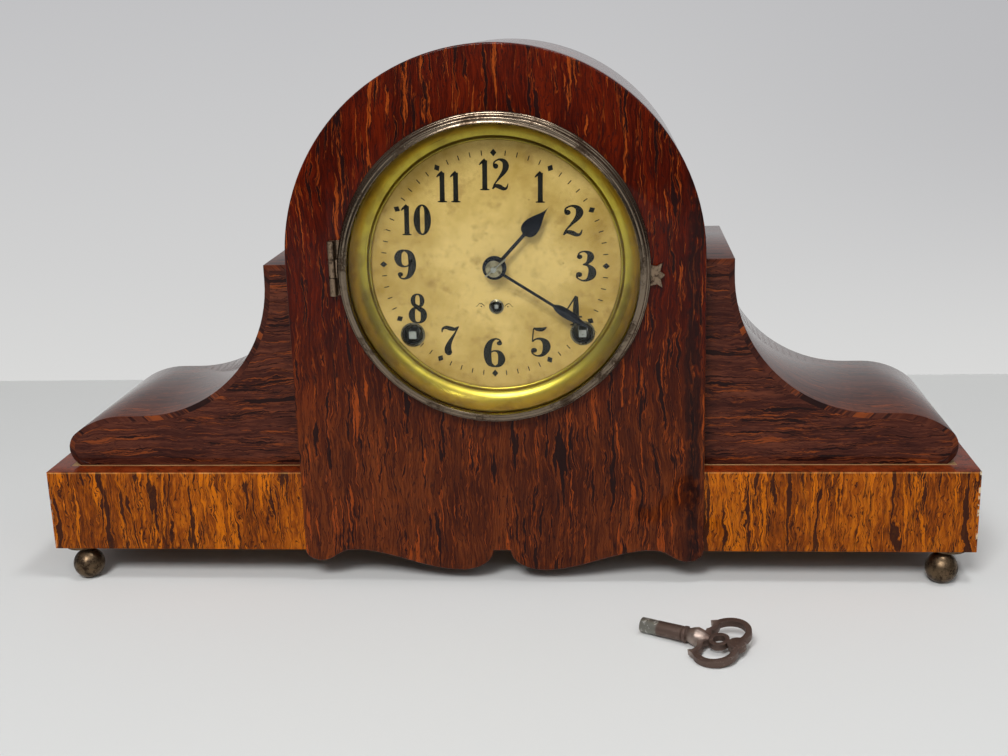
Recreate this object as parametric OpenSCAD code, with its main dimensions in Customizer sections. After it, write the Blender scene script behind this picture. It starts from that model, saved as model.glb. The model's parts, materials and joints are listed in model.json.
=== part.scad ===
// Tambour mantel clock: an arched front panel and bent hood between two scrolled wings on a plinth,
// with a hinged bezel, a pierced-in dial and an eight-day movement that goes and strikes.
// Millimetres. x runs to the right, y to the back and z up. The table is z = 0,
// x = 0 is the middle of the case and y = 0 is the middle of its depth.

/* [Case] */
// Depth of the case, from the front of the panel to the back
case_d = 122; // [116:1:130]
// Width of the front panel round the bezel
panel_border = 27.6; // [25.5:0.1:32]
// Height of the arch's centre above the table
arch_z = 176; // [172:0.5:184]
// Thickness of the front panel
panel_t = 12; // [11:0.5:15]
// How far the bezel laps over the panel round its opening
opening_lap = 4.2; // [3.7:0.1:4.6]
// How far the hood lies inside the panel's outline
hood_inset = 0.5; // [0.2:0.1:2]
// Thickness of the bent hood
hood_t = 6; // [4:0.5:7]
// Thickness of the back board
back_t = 6; // [4:0.5:8]
// How far the back board is let in from the back of the case
back_inset = 5; // [4.6:0.1:8]

/* [Apron] */
// Height of the top of the apron's middle notch
notch_z = 18.2; // [16:0.1:20]
// Half width of the flat top of the notch
notch_half = 4.7; // [3:0.1:6]
// Distance from the middle to the lowest point of the middle lobe
lobe_x = 22; // [18:0.5:28]
// Height of the lowest point of the middle lobe
lobe_z = 6.9; // [5:0.1:9]
// Distance from the panel's side to the apron's crest
crest_in = 25.8; // [22:0.1:31]
// Height of the apron's crest
crest_z = 18.5; // [15:0.1:20]
// Distance from the panel's side to the lowest point of the scroll foot
scroll_in = 8.8; // [6.5:0.1:12]
// Height of the lowest point of the scroll foot
scroll_z = 11.9; // [9:0.1:13]

/* [Wings] */
// How far the wings' front lies behind the front of the panel
wing_setback = 13.5; // [12.5:0.5:20]
// Thickness of a wing's front and back cheeks
cheek_t = 6; // [4:0.5:9]
// Thickness of a wing's bent top
skin_t = 3; // [2:0.5:4]
// Distance from the panel's side to the outside of the wing's shoulder
shoulder_out = 15.2; // [12:0.1:20]
// Height of the wing's shoulder
shoulder_z = 173; // [170:0.5:175]
// Height at which the cove leaves the shoulder's side
cove_z = 165; // [162:0.5:167]
// Radius of the wing's cove
cove_r = 74.5; // [70:0.5:78]
// Distance from the middle to the start of the wing's crown
crown_x = 207; // [205:0.5:212]
// Radius of the wing's crown
crown_r = 45; // [42:0.5:48]
// Angle of the crown's end above the level
crown_end = 51.3; // [48:0.1:56]
// Radius of the wing's nose
nose_r = 11; // [10:0.5:13]

/* [Plinth] */
// Half of the plinth's length
plinth_half = 248.5; // [247:0.5:260]
// Height of the plinth's underside
plinth_z = 18; // [16.8:0.1:24]
// Height of the plinth's top
plinth_top = 62.5; // [60:0.5:66]
// How far the plinth's front lies behind the front of the panel
plinth_setback = 1.3; // [0.5:0.1:3]
// Thickness of the plinth's end rails
end_t = 10; // [8:0.5:12]
// Thickness of the plinth's back rail
back_rail_t = 12; // [10:0.5:16]
// Thickness of the deck
deck_t = 8; // [6:0.5:12]
// Side of the triangular glue blocks
block_side = 16; // [10:1:24]

/* [Feet] */
// Radius of a ball foot
foot_r = 8.5; // [8:0.1:8.8]
// Depth of the flat under a ball foot
foot_flat = 0.5; // [0.3:0.1:1]
// Distance from the plinth's ends to a foot's centre
foot_in = 16.5; // [12.5:0.5:23.5]
// Distance from a foot's centre to the front or back of the case
foot_inset = 5.5; // [4.5:0.1:7]
// Radius of the round plate over a foot
foot_plate_r = 10; // [9.8:0.1:12]
// How far the plate's centre lies outside the foot's centre
foot_plate_out = 4.3; // [3:0.1:4.5]
// How far the plate's edge lies behind the plinth's front
foot_plate_in = 0.5; // [0.2:0.1:0.8]
// Radius of the foot's screw
foot_screw_r = 2; // [1.5:0.1:2.2]
// Length of the foot's screw above the plinth's underside
foot_screw_l = 14; // [8:1:24]

/* [Dial] */
// Height of the dial's centre above the table
dial_z = 171; // [170:0.1:173]
// How far the dial plate laps over the panel round its opening
dial_lap = 4.5; // [4.2:0.1:8]
// Thickness of the dial plate
dial_t = 0.8; // [0.5:0.1:1.2]
// Gap between the winding grommets and the middle of the reflector's bead
bead_gap = 1.85; // [1.2:0.05:3]
// Radius of the bead's own round section
bead_wire_r = 0.9; // [0.5:0.1:1]
// Gap between the reflector's front edge and the opening
reflector_gap = 0.7; // [0.6:0.1:1.6]
// Thickness of the reflector
reflector_t = 0.7; // [0.5:0.1:0.9]
// Depth of the reflector
reflector_d = 11.6; // [9:0.1:11.8]
// Radius of the winding holes
winding_hole_r = 4.95; // [4.5:0.05:5.2]
// Radius of a winding grommet's flange
grommet_r = 6.45; // [6.3:0.05:7]
// Radius of the regulator hole
regulator_hole_r = 2.95; // [2.5:0.05:3.1]
// Radius of the regulator grommet's flange
regulator_grommet_r = 3.85; // [3.7:0.05:4.4]
// Thickness of a grommet's tube
grommet_wall = 0.5; // [0.3:0.05:0.6]
// Thickness of a grommet's flanges
grommet_flange = 0.8; // [0.5:0.1:1.2]
// Distance of the dial's screws from its edge
dial_screw_in = 2; // [1.8:0.1:2.4]
// Radius of a screw's shank
screw_r = 1.1; // [0.8:0.1:1.3]
// Radius of a screw's head
screw_head_r = 2; // [1.8:0.1:2.2]
// Length of a screw's shank
screw_l = 7; // [4:0.5:9]

/* [Bezel] */
// Outer radius of the bezel
bezel_r = 79.7; // [74:0.1:86]
// Width of the bezel's face
bezel_face_w = 5.5; // [4.9:0.1:6.7]
// Thickness of the bezel's wall round the glass
bezel_wall = 3.1; // [2.9:0.1:3.6]
// Depth of the bezel
bezel_d = 7.6; // [7:0.1:9]
// Depth of the bezel's lip
bezel_lip_d = 2.4; // [1.5:0.1:3]
// Running gap between the bezel and the panel
bezel_gap = 0.4; // [0.3:0.1:1]
// Gap between the glass and the bezel's wall
glass_fit = 0.3; // [0.1:0.1:0.6]
// Thickness of the glass
glass_t = 1.8; // [1.2:0.1:2.2]
// Rise of the glass at its middle
glass_rise = 4.5; // [1:0.5:8]
// Thickness of the ring that holds the glass
clip_t = 1.2; // [0.8:0.1:1.6]
// Angle to which the bezel opens
bezel_open = 110; // [60:5:120]
// Length of the bezel's hinge
hinge_l = 28.5; // [24:0.5:34]
// Radius of the hinge's knuckles
hinge_r = 2; // [1.8:0.05:2.1]
// Radius of the hinge's pin
hinge_pin_r = 0.8; // [0.6:0.05:1]
// Distance of the hinge's axis outside the bezel
hinge_out = 2.5; // [2.4:0.1:3.5]
// Distance of the hinge's axis in front of the panel
hinge_front = 2.2; // [2.15:0.05:2.6]
// Thickness of the hinge's leaves
hinge_leaf_t = 0.9; // [0.6:0.1:1.1]
// Height of the hinge's middle above the dial's centre
hinge_up = 2.5; // [0:0.5:5]
// Height of the thumb tab's middle below the dial's centre
tab_down = 3.2; // [0:0.1:6]
// Thickness of the thumb tab
tab_t = 1.9; // [1.2:0.1:2.1]

/* [Hands] */
// Length of the hour hand, from the centre to the point
hour_l = 42.5; // [38:0.5:43]
// Greatest width of the hour hand's blade
hour_w = 8.8; // [5:0.1:10]
// Distance from the centre to the hour hand's widest place
hour_wide_at = 27.5; // [22:0.5:30]
// Angle of the hour hand, clockwise from twelve
hour_at = 43; // [0:1:359]
// Length of the minute hand, from the centre to the point
minute_l = 62; // [54:0.5:62]
// Greatest width of the minute hand's blade
minute_w = 5; // [4:0.1:7]
// Distance from the centre to the minute hand's widest place
minute_wide_at = 43.5; // [36:0.5:46]
// Angle of the minute hand, clockwise from twelve
minute_at = 123; // [0:0.5:359]
// Thickness of a hand
hand_t = 0.7; // [0.5:0.1:1]
// Distance from the dial to the hour hand
hour_hand_out = 4.6; // [3:0.1:5]
// Distance from the hour hand to the minute hand
minute_hand_out = 2.3; // [1.5:0.1:2.4]
// Radius of the hour hand's boss
hour_boss_r = 6.2; // [5:0.1:7]
// Radius of the minute hand's boss
minute_boss_r = 3.9; // [3:0.1:5]
// Radius of the dished washer
washer_r = 4.3; // [3:0.1:5]
// Thickness of the dished washer
washer_t = 0.6; // [0.4:0.1:0.8]
// Radius of the taper pin
pin_r = 0.45; // [0.3:0.05:0.5]
// Length of the taper pin
pin_l = 14; // [10:0.5:18]

/* [Movement] */
// Distance from the back of the dial plate to the movement's front plate
motion_gap = 8.7; // [8.7:0.1:10]
// Thickness of a movement plate
plate_t = 1.6; // [1.2:0.1:2]
// Distance between the movement's plates
plate_gap = 33; // [33:0.5:36]
// How far the plates reach outside the winding arbors
plate_out = 28.5; // [28.5:0.5:33]
// Size of the cut corners at the plates' top
plate_cut = 22; // [18:1:26]
// Height of the plates above the dial's centre
plate_up = 60; // [59:0.5:64]
// Depth of the plates below the dial's centre
plate_down = 64; // [63.5:0.5:68]
// Radius of a pillar
pillar_r = 3; // [2:0.1:4]
// Distance of a pillar from the plate's edges
pillar_in = 5.5; // [5:0.1:7]
// Radius of a pillar's screw
pillar_screw_r = 1.5; // [1:0.1:1.8]
// Radial clearance of a turning fit
turning_gap = 0.05; // [0.02:0.01:0.08]
// Radius of a heavy arbor
arbor_r = 1.25; // [1:0.05:1.4]
// Radius of a fine arbor
fine_arbor_r = 0.8; // [0.6:0.05:0.9]
// Radius of a heavy pivot
pivot_r = 0.8; // [0.6:0.05:0.9]
// Radius of a fine pivot
fine_pivot_r = 0.6; // [0.4:0.05:0.7]
// Thickness of a wheel
wheel_t = 1.2; // [0.8:0.1:1.6]
// Thickness of a great wheel
great_t = 2; // [1.6:0.1:2.4]
// Distance of the winding arbors from the dial's centre, sideways
winding_dx = 44.5; // [43.5:0.1:46]
// Depth of the winding arbors below the dial's centre
winding_down = 35.8; // [35:0.1:37]
// Radius of a winding arbor
winding_r = 2.5; // [2:0.1:2.9]
// Side of the winding squares
winding_square = 3.9; // [3:0.1:4]
// How far the winding squares end in front of the dial
winding_out = 1.5; // [0.5:0.1:4]
// Depth of the regulator arbor below the dial's centre
regulator_down = 21.3; // [20.5:0.1:23]
// Radius of the regulator arbor
regulator_r = 1.1; // [0.8:0.05:1.3]

/* [Springs] */
// Width of a mainspring
spring_w = 18; // [14:0.5:18.5]
// Thickness of a mainspring
spring_t = 0.45; // [0.3:0.05:0.6]
// Radius of a mainspring's outer turn
spring_r = 20; // [17:0.5:22]
// Radius of the arbor's hub inside the spring
spring_hub_r = 5.5; // [4:0.1:7]
// Turns of a mainspring
spring_turns = 7; // [4:1:10]
// Outer radius of a ratchet wheel
ratchet_r = 9; // [8:0.1:10]
// Teeth of a ratchet wheel
ratchet_teeth = 24; // [16:1:30]

/* [Going train] */
// Teeth of a great wheel
great_teeth = 66; // [65:1:66]
// Module of a great wheel
great_m = 0.85; // [0.84:0.01:0.86]
// Teeth of the going second wheel
second_teeth = 62; // [61:1:63]
// Module of the going second wheel
second_m = 0.8; // [0.79:0.01:0.82]
// Teeth of the centre wheel
centre_teeth = 84; // [82:1:86]
// Teeth of the third wheel
third_teeth = 70; // [68:1:72]
// Module of the centre and third wheels
fine_m = 0.5; // [0.49:0.01:0.51]
// Leaves of a heavy lantern pinion
heavy_leaves = 8; // [8:1:9]
// Leaves of a fine lantern pinion
fine_leaves = 7; // [7:1:8]
// Height of the escape wheel above the dial's centre
escape_up = 32; // [31:0.5:33]
// Radius of the escape wheel
escape_r = 11; // [10:0.1:11.5]
// Teeth of the escape wheel
escape_teeth = 45; // [36:1:48]
// Height of the verge above the escape wheel
verge_up = 20; // [19.5:0.1:21]
// Reach of the verge's arms
verge_reach = 15; // [14:0.1:15.5]
// Angle of each verge arm from the upright
verge_spread = 40; // [39:0.5:44]
// Angle to which the verge and the pendulum swing each way
swing = 4; // [2:0.5:5]

/* [Motion work] */
// Teeth of the pinion on the centre arbor
cannon_teeth = 12; // [12:1:12]
// Teeth of the minute wheel
minute_teeth = 36; // [36:1:36]
// Teeth of the minute wheel's pinion
change_teeth = 10; // [10:1:10]
// Teeth of the hour wheel
hour_teeth = 40; // [40:1:40]
// Distance from the centre arbor to the minute wheel's post
motion_d = 15; // [14.6:0.1:15.4]
// Direction of the minute wheel's post from the centre arbor
motion_dir = 150; // [130:1:170]
// Radius of the tube inside the hour pipe
cannon_r = 2; // [1.6:0.05:2.2]
// Thickness of the hour pipe's wall
pipe_wall = 0.85; // [0.6:0.05:1]

/* [Striking train] */
// Teeth of the striking second and third wheels
strike_teeth = 60; // [58:1:62]
// Module of the striking second wheel
strike_m = 0.6; // [0.59:0.01:0.61]
// Direction of the striking second wheel from its great wheel
strike_second_dir = 80; // [76:1:82]
// Direction of the striking third wheel from the second
strike_third_dir = 70; // [66:1:76]
// Direction of the fly from the striking third wheel
fly_dir = 60; // [50:1:70]
// Radius that the fly sweeps
fly_r = 11; // [8:0.5:12]
// Length of the fly's fan
fly_l = 14; // [10:0.5:14.5]
// Distance of the hammer's arbor from the dial's centre, sideways
hammer_dx = 66; // [65.5:0.1:67]
// Depth of the hammer's arbor below the dial's centre
hammer_down = 2; // [0:0.5:5]
// Radius of the hammer's head
hammer_head_r = 5; // [4:0.5:6]
// Length of the hammer's head
hammer_head_l = 11; // [8:0.5:14]
// Angle to which the hammer lifts
hammer_lift = 12; // [6:1:15]

/* [Gong] */
// Height of the gong's centre above the table
gong_z = 118; // [114:0.5:122]
// Distance of the gong behind the middle of the case
gong_y = 30; // [26:0.5:32]
// Radius of the gong's outer turn
gong_r = 44; // [38:0.5:46]
// Radius of the gong's block
gong_block_r = 8; // [6:0.5:10]
// Radius of the gong's wire
gong_wire_r = 1.3; // [1:0.1:1.6]
// Turns of the gong
gong_turns = 5; // [3:1:6]
// Width of the gong stand's column
stand_w = 18; // [12:0.5:24]
// Gap between the gong and its stand's column
stand_gap = 3; // [2:0.1:5]
// Thickness of the gong stand's foot
stand_foot_t = 4; // [3:0.5:6]

/* [Pendulum] */
// Length from the suspension to the bob's centre
pendulum_l = 110.4; // [104:0.2:114]
// Radius of the bob
bob_r = 17; // [14:0.5:18]
// Thickness of the bob
bob_t = 7; // [5:0.5:8]
// Radius of the rod
rod_r = 0.9; // [0.7:0.05:1.1]
// Distance of the rod behind the movement's back plate
rod_back = 8; // [6.5:0.1:9]
// Length of the suspension spring
suspension_l = 10; // [6:0.5:14]
// Thickness of the suspension spring
suspension_t = 0.3; // [0.2:0.05:0.5]
// Radius of the clasp under the suspension spring
clasp_r = 1.7; // [1.4:0.1:2]
// Radius of the post that carries the suspension spring
bridge_r = 2.2; // [1.8:0.1:2.6]
// Radius of the rating nut, across its corners
rating_nut_r = 3; // [2:0.1:4]

/* [Back door] */
// Height of the door's centre above the table
door_z = 140; // [138:0.5:142]
// Radius of the door's opening
door_hole_r = 58; // [50:0.5:59]
// Radius of the door
door_r = 62; // [60:0.5:64]
// Thickness of the door
door_t = 3; // [2:0.1:3.4]
// Gap between the door and the board
door_gap = 0.3; // [0.2:0.1:0.5]
// Angle to which the door opens
door_open = 110; // [60:5:120]
// Length of the door's hinge
door_hinge_l = 30; // [20:1:40]
// Radius of the door hinge's knuckles
door_hinge_r = 1.8; // [1.5:0.1:1.9]
// Distance of the door hinge's axis outside the door
door_hinge_out = 4; // [3.5:0.1:5]
// Distance of the door hinge's axis behind the board
door_hinge_back = 2; // [1.95:0.05:2.3]
// Radius of the door's knob
knob_r = 4; // [3:0.5:6]
// Length of the door's knob
knob_l = 5; // [3:0.5:8]
// Distance of the knob's middle from the door's edge
knob_in = 12; // [8:0.5:20]

/* [Key] */
// Length of the key
key_l = 55; // [50:0.5:62]
// Radius of the key's barrel
key_barrel_r = 3.75; // [3.4:0.05:4]
// Length of the key's barrel
key_barrel_l = 22; // [18:0.5:24]
// Side of the key's socket
key_socket = 4.1; // [4:0.1:4.5]
// Depth of the key's socket
key_socket_d = 14; // [8:0.5:18]
// Radius of the key's swelling
key_swell_r = 4.8; // [4.3:0.1:5.2]
// Distance from the tip to the middle of the swelling
key_swell_at = 30; // [28:0.5:31]
// Thickness of the key's bow
key_bow_t = 3.2; // [2:0.1:4]
// Outer radius of a bow lobe
key_lobe_r = 11; // [10:0.1:11.5]
// Distance from the bow's end to the lobes' centres
key_lobe_in = 12; // [11.5:0.1:12.5]
// Distance between the lobes' centres
key_lobe_apart = 15; // [14:0.5:17]
// Width of the bow's strips
key_strip_w = 2.9; // [2:0.1:3.4]
// How far a horn reaches back from the centre of its lobe
key_horn_back = 12; // [11.6:0.1:12.4]
// How far a horn reaches outside the centre of its lobe
key_horn_out = 5.1; // [4.6:0.1:6]
// Radius of the scoop between a horn and the barrel
key_scoop_r = 3.8; // [3:0.1:4]
// Distance from the centre of a lobe back to the centre of its scoop
key_scoop_back = 13; // [12.8:0.1:13.6]
// Distance from the centre of a lobe out to the centre of its scoop
key_scoop_out = 1.5; // [1.2:0.1:1.8]
// Radius of the ring between the lobes
key_middle_r = 5; // [4.6:0.1:5.4]
// Radius of the hole between the lobes
key_middle_hole_r = 2.9; // [2:0.1:3.2]
// Radius of the bow's rounded end
key_crown_r = 4.4; // [4:0.1:4.8]
// Height of the low lobe over the table
key_lobe_gap = 0.15; // [0.1:0.05:0.5]
// Place of the key's tip, to the right of the middle
key_x = 74; // [60:1:90]
// Place of the key's tip, in front of the middle
key_front = 119; // [112:1:140]
// Angle at which the key lies, clockwise from the x axis
key_turn = 30; // [0:1:60]

/* [Hidden] */
$fn = 64;
// How far a cutting tool runs past the face it leaves
past = 1;

front_y = -case_d / 2;
back_y = case_d / 2;
panel_back = front_y + panel_t;
// The bezel's size gives the panel its width and opening, and the reflector and the dial theirs. The
// reflector's bead frames the dial just outside the winding holes.
arch_r = bezel_r + panel_border;
opening_r = bezel_r - opening_lap;
reflector_r = opening_r - reflector_gap;
bead_r = norm([winding_dx, winding_down]) + grommet_r + bead_gap;
dial_r = opening_r + dial_lap;
dial_screw_d = dial_r - dial_screw_in;
crest_x = arch_r - crest_in;
scroll_x = arch_r - scroll_in;
shoulder_x = arch_r + shoulder_out;
foot_x = plinth_half - foot_in;
plate_half = winding_dx + plate_out;

hood_r = arch_r - hood_inset;
hood_in_r = hood_r - hood_t;
board_back = back_y - back_inset;
board_front = board_back - back_t;
wing_front = front_y + wing_setback;
plinth_front = front_y + plinth_setback;
deck_back = back_y - back_rail_t;
deck_half = plinth_half - end_t;
cove_x = shoulder_x + cove_r;
flat_z = cove_z - cove_r;
crown_z = flat_z - crown_r;

foot_z = foot_r - foot_flat;
foot_top = foot_z + foot_r;

// The dial, reflector and movement are stacked on the back of the panel.
dial_front = panel_back;
dial_back = dial_front + dial_t;
front_plate_y = dial_back + motion_gap;
inner_y = front_plate_y + plate_t;
back_plate_y = inner_y + plate_gap;
rear_y = back_plate_y + plate_t;

// Distances of the wheels' layers behind the front plate.
great_at = 24;
second_at = 29.5;
centre_at = 12.5;
third_at = 24;
strike_third_at = 5.5;
escape_at = 8;
spring_at = 2;
fly_at = 10;
pinion_l = 6.4;
shroud_t = 1.2;

// Teeth are narrow at the pitch circle, so a pair has room at every angle.
addendum = 0.75;
dedendum = 1;
root_share = 0.27;
tip_share = 0.12;
trundle_share = 0.5;

bezel_back = front_y - bezel_gap;
bezel_front = bezel_back - bezel_d;
lip_back = bezel_front + bezel_lip_d;
bezel_seat_r = bezel_r - bezel_wall;
bezel_lip_r = bezel_r - bezel_face_w;
glass_r = bezel_seat_r - glass_fit;
dome_r = bezel_lip_r - 0.4;
hinge_x = -bezel_r - hinge_out;
hinge_y = front_y - hinge_front;
hinge_z = dial_z + hinge_up;
hinge_leaf_x = -opening_r - 0.9;
hinge_leaf_wing = 1.2;
knuckle_gap = 0.15;

pipe_r = cannon_r + turning_gap + pipe_wall;
hour_hand_y = dial_front - hour_hand_out - hand_t;
minute_hand_y = hour_hand_y - minute_hand_out - hand_t;
hand_post_r = 1.4;
arbor_end = minute_hand_y - washer_t - 2.6;

door_hinge_x = -door_r - door_hinge_out;
door_hinge_y = board_back + door_hinge_back;
door_front = board_back + door_gap;
door_back = door_front + door_t;
door_leaf_t = 0.9;
door_leaf_l = 12;

rod_y = rear_y + rod_back;
verge_z = escape_up + verge_up;

key_rise = atan((key_swell_r - key_barrel_r) / key_swell_at);
key_lobe_at = key_l - key_lobe_in;
key_lobe_reach = key_lobe_apart / 2 + key_lobe_r;
key_roll = asin((key_barrel_r + key_lobe_at * sin(key_rise) - key_bow_t / 2 - key_lobe_gap) / key_lobe_reach);

function polar(r, a) = [r * cos(a), r * sin(a)];
function arc(c, r, from, to, n) = [for (i = [0:n]) c + polar(r, from + (to - from) * i / n)];
function oval(c, rx, rz, from, to, n) =
    [for (i = [0:n]) let (a = from + (to - from) * i / n) c + [rx * cos(a), rz * sin(a)]];
function ease(a, b, n) =
    [for (i = [1:n - 1]) [a[0] + (b[0] - a[0]) * i / n, a[1] + (b[1] - a[1]) * (1 - cos(180 * i / n)) / 2]];
function mirrored(p) = [for (i = [len(p) - 1:-1:0]) [-p[i][0], p[i][1]]];
function bearing(a, b) = atan2(b[1] - a[1], b[0] - a[0]);
function mesh_d(teeth, leaves, m) = (teeth + leaves) * m / 2;

// The point at distance ra from a and rb from b, left of the way from a to b when side is 1.
function meet(a, ra, b, rb, side) =
    let (d = norm(b - a), u = (b - a) / d, t = (ra * ra - rb * rb + d * d) / (2 * d))
    a + t * u + side * sqrt(ra * ra - t * t) * [-u[1], u[0]];

// Places of the arbors, as x and z from the dial's centre.
at_centre = [0, 0];
at_great = [winding_dx, -winding_down];
at_second = meet(at_great, mesh_d(great_teeth, heavy_leaves, great_m),
                 at_centre, mesh_d(second_teeth, heavy_leaves, second_m), -1);
at_escape = [0, escape_up];
at_third = meet(at_centre, mesh_d(centre_teeth, fine_leaves, fine_m),
                at_escape, mesh_d(third_teeth, fine_leaves, fine_m), -1);
at_verge = [0, verge_z];
at_regulator = [0, -regulator_down];
at_minute = polar(motion_d, motion_dir);
at_strike_great = [-winding_dx, -winding_down];
at_strike_second = at_strike_great + polar(mesh_d(great_teeth, heavy_leaves, great_m), strike_second_dir);
at_strike_third = at_strike_second + polar(mesh_d(strike_teeth, heavy_leaves, strike_m), strike_third_dir);
at_fly = at_strike_third + polar(mesh_d(strike_teeth, fine_leaves, fine_m), fly_dir);
at_hammer = [-hammer_dx, -hammer_down];

veneer = "#5a2a16";
plinth_veneer = "#a35a1c";
bare_wood = "#b08a5a";
brass = "#b8963c";
aged_brass = "#7d6a3c";
steel = "#8a8a88";
dark_steel = "#23242a";
pewter = "#7a6a55";
cream = "#d0b880";

// Stands a flat x-z outline up between two depths.
module slab(y0, y1) {
    translate([0, y1, 0]) rotate([90, 0, 0]) linear_extrude(y1 - y0) children();
}

// A round bar along the depth at x and z from the dial's centre.
module bar(at, r, y0, y1) {
    translate([at[0], y1, dial_z + at[1]]) rotate([90, 0, 0]) cylinder(r=r, h=y1 - y0);
}

// A turned section of radius against depth, about the dial's axis.
module turned(at=[0, 0]) {
    translate([at[0], 0, dial_z + at[1]]) rotate([-90, 0, 0]) rotate_extrude() children();
}

module arch(r, low) {
    translate([0, arch_z]) circle(r=r);
    translate([-r, low]) square([2 * r, arch_z - low]);
}

// The apron's edge from the middle to the right side.
apron = concat(
    [[notch_half, notch_z]],
    oval([lobe_x, notch_z], lobe_x - notch_half, notch_z - lobe_z, 180, 270, 8),
    ease([lobe_x, lobe_z], [crest_x, crest_z], 14),
    ease([crest_x, crest_z], [scroll_x, scroll_z], 6),
    oval([scroll_x, plinth_z], arch_r - scroll_x, plinth_z - scroll_z, 270, 360, 6));

module front_panel() {
    color(veneer) difference() {
        slab(front_y, panel_back) difference() {
            union() {
                arch(arch_r, plinth_top);
                polygon(concat(apron, [[arch_r, plinth_top], [-arch_r, plinth_top]], mirrored(apron)));
            }
            translate([0, dial_z]) circle(r=opening_r);
        }
        translate([hinge_x - hinge_leaf_wing, front_y - past, hinge_z - hinge_l / 2])
            cube([hinge_leaf_x - hinge_x + hinge_leaf_wing, hinge_leaf_t + past, hinge_l]);
        each_dial_screw() screw_body(dial_back);
        each_bracket() translate([bracket_foot / 2, 0]) screw_body(panel_back + bracket_t);
    }
}

module drum_hood() {
    color(veneer) slab(panel_back, back_y) difference() {
        arch(hood_r, plinth_top);
        translate([0, arch_z]) circle(r=hood_in_r);
        translate([-hood_in_r, plinth_top - past]) square([2 * hood_in_r, arch_z - plinth_top + past]);
    }
}

module back_board() {
    color(bare_wood) slab(board_front, board_back) difference() {
        arch(hood_in_r, plinth_top);
        translate([0, door_z]) circle(r=door_hole_r);
    }
}

// A wing's outline, drawn in by t all round but for its foot and its inner side.
function wing(t) =
    let (nose_c = [crown_x, crown_z] + polar(crown_r - nose_r, crown_end),
         drop = (nose_c[1] - plinth_top) / (nose_r - t))
    concat([[hood_r, plinth_top], [hood_r, shoulder_z - t], [shoulder_x - t, shoulder_z - t]],
           arc([cove_x, cove_z], cove_r + t, 180, 270, 24),
           arc([crown_x, crown_z], crown_r - t, 90, crown_end, 8),
           arc(nose_c, nose_r - t, crown_end, -asin(min(1, drop)), 10),
           drop > 1 ? [[nose_c[0], plinth_top]] : []);

module wing_cheeks() {
    color(veneer) for (y = [wing_front, back_y - cheek_t]) slab(y, y + cheek_t) polygon(wing(skin_t));
}

module wing_top() {
    color(veneer) slab(wing_front, back_y) difference() {
        polygon(wing(0));
        polygon(wing(skin_t));
    }
}

module left_wing_cheeks() { mirror([1, 0, 0]) wing_cheeks(); }
module left_wing_top() { mirror([1, 0, 0]) wing_top(); }
module right_wing_cheeks() { wing_cheeks(); }
module right_wing_top() { wing_top(); }

module foot_screw_hole(y) {
    translate([foot_x, y, plinth_z - past]) cylinder(r=foot_screw_r, h=foot_screw_l + past);
}

module plinth_front_rail() {
    color(plinth_veneer) difference() {
        translate([arch_r, plinth_front, plinth_z])
            cube([plinth_half - arch_r, panel_back - plinth_front, plinth_top - plinth_z]);
        foot_screw_hole(front_y + foot_inset);
    }
}

module plinth_front_left() { mirror([1, 0, 0]) plinth_front_rail(); }
module plinth_front_right() { plinth_front_rail(); }

module plinth_ends() {
    color(plinth_veneer) for (side = [0, 1]) mirror([side, 0, 0])
        translate([deck_half, panel_back, plinth_z])
            cube([end_t, back_y - panel_back, plinth_top - plinth_z]);
}

module plinth_back() {
    color(bare_wood) difference() {
        translate([-deck_half, deck_back, plinth_z])
            cube([2 * deck_half, back_rail_t, plinth_top - plinth_z]);
        for (side = [0, 1]) mirror([side, 0, 0]) foot_screw_hole(back_y - foot_inset);
    }
}

module plinth_deck() {
    color(bare_wood) translate([-deck_half, panel_back, plinth_top - deck_t])
        cube([2 * deck_half, deck_back - panel_back, deck_t]);
}

// Triangular blocks in the four corners under the deck.
module glue_blocks() {
    color(bare_wood) for (side = [0, 1]) mirror([side, 0, 0])
        for (place = [[panel_back, 1], [deck_back, -1]])
            translate([deck_half, place[0], plinth_z + foot_screw_l])
                linear_extrude(plinth_top - deck_t - plinth_z - foot_screw_l)
                    polygon([[0, 0], [-block_side, 0], [0, place[1] * block_side]]);
}

module each_foot() {
    for (side = [0, 1]) mirror([side, 0, 0]) for (end = [0, 1]) mirror([0, end, 0])
        translate([foot_x, front_y + foot_inset, 0]) children();
}

module ball_feet() {
    color(aged_brass) each_foot() {
        difference() {
            translate([0, 0, foot_z]) sphere(r=foot_r);
            translate([-foot_r, -foot_r, -foot_r]) cube([2 * foot_r, 2 * foot_r, foot_r]);
        }
        translate([0, 0, foot_z]) cylinder(r=foot_screw_r, h=plinth_z + foot_screw_l - foot_z);
    }
}

module foot_plates() {
    back = foot_plate_r + foot_plate_in - foot_inset + plinth_setback;
    color(aged_brass) each_foot() difference() {
        translate([foot_plate_out, back, foot_top]) cylinder(r=foot_plate_r, h=plinth_z - foot_top);
        translate([0, 0, foot_top - past]) cylinder(r=foot_screw_r, h=plinth_z - foot_top + 2 * past);
    }
}

// The bezel's section: stepped outside, with a seat for the glass behind its lip.
module bezel_ring() {
    step = bezel_d / 4;
    fall = bezel_face_w / 5;
    color(pewter) turned() polygon([
        [bezel_seat_r, bezel_back], [bezel_r, bezel_back], [bezel_r, bezel_back - step],
        [bezel_r - fall / 2, bezel_back - 1.2 * step], [bezel_r - fall / 2, bezel_back - 2 * step],
        [bezel_r - 1.4 * fall, bezel_back - 2.3 * step], [bezel_r - 2 * fall, bezel_back - 3 * step],
        [bezel_r - 3 * fall, bezel_back - 3.5 * step], [bezel_lip_r + fall, bezel_front],
        [bezel_lip_r, bezel_front], [bezel_lip_r, lip_back], [bezel_seat_r, lip_back]]);
}

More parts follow.
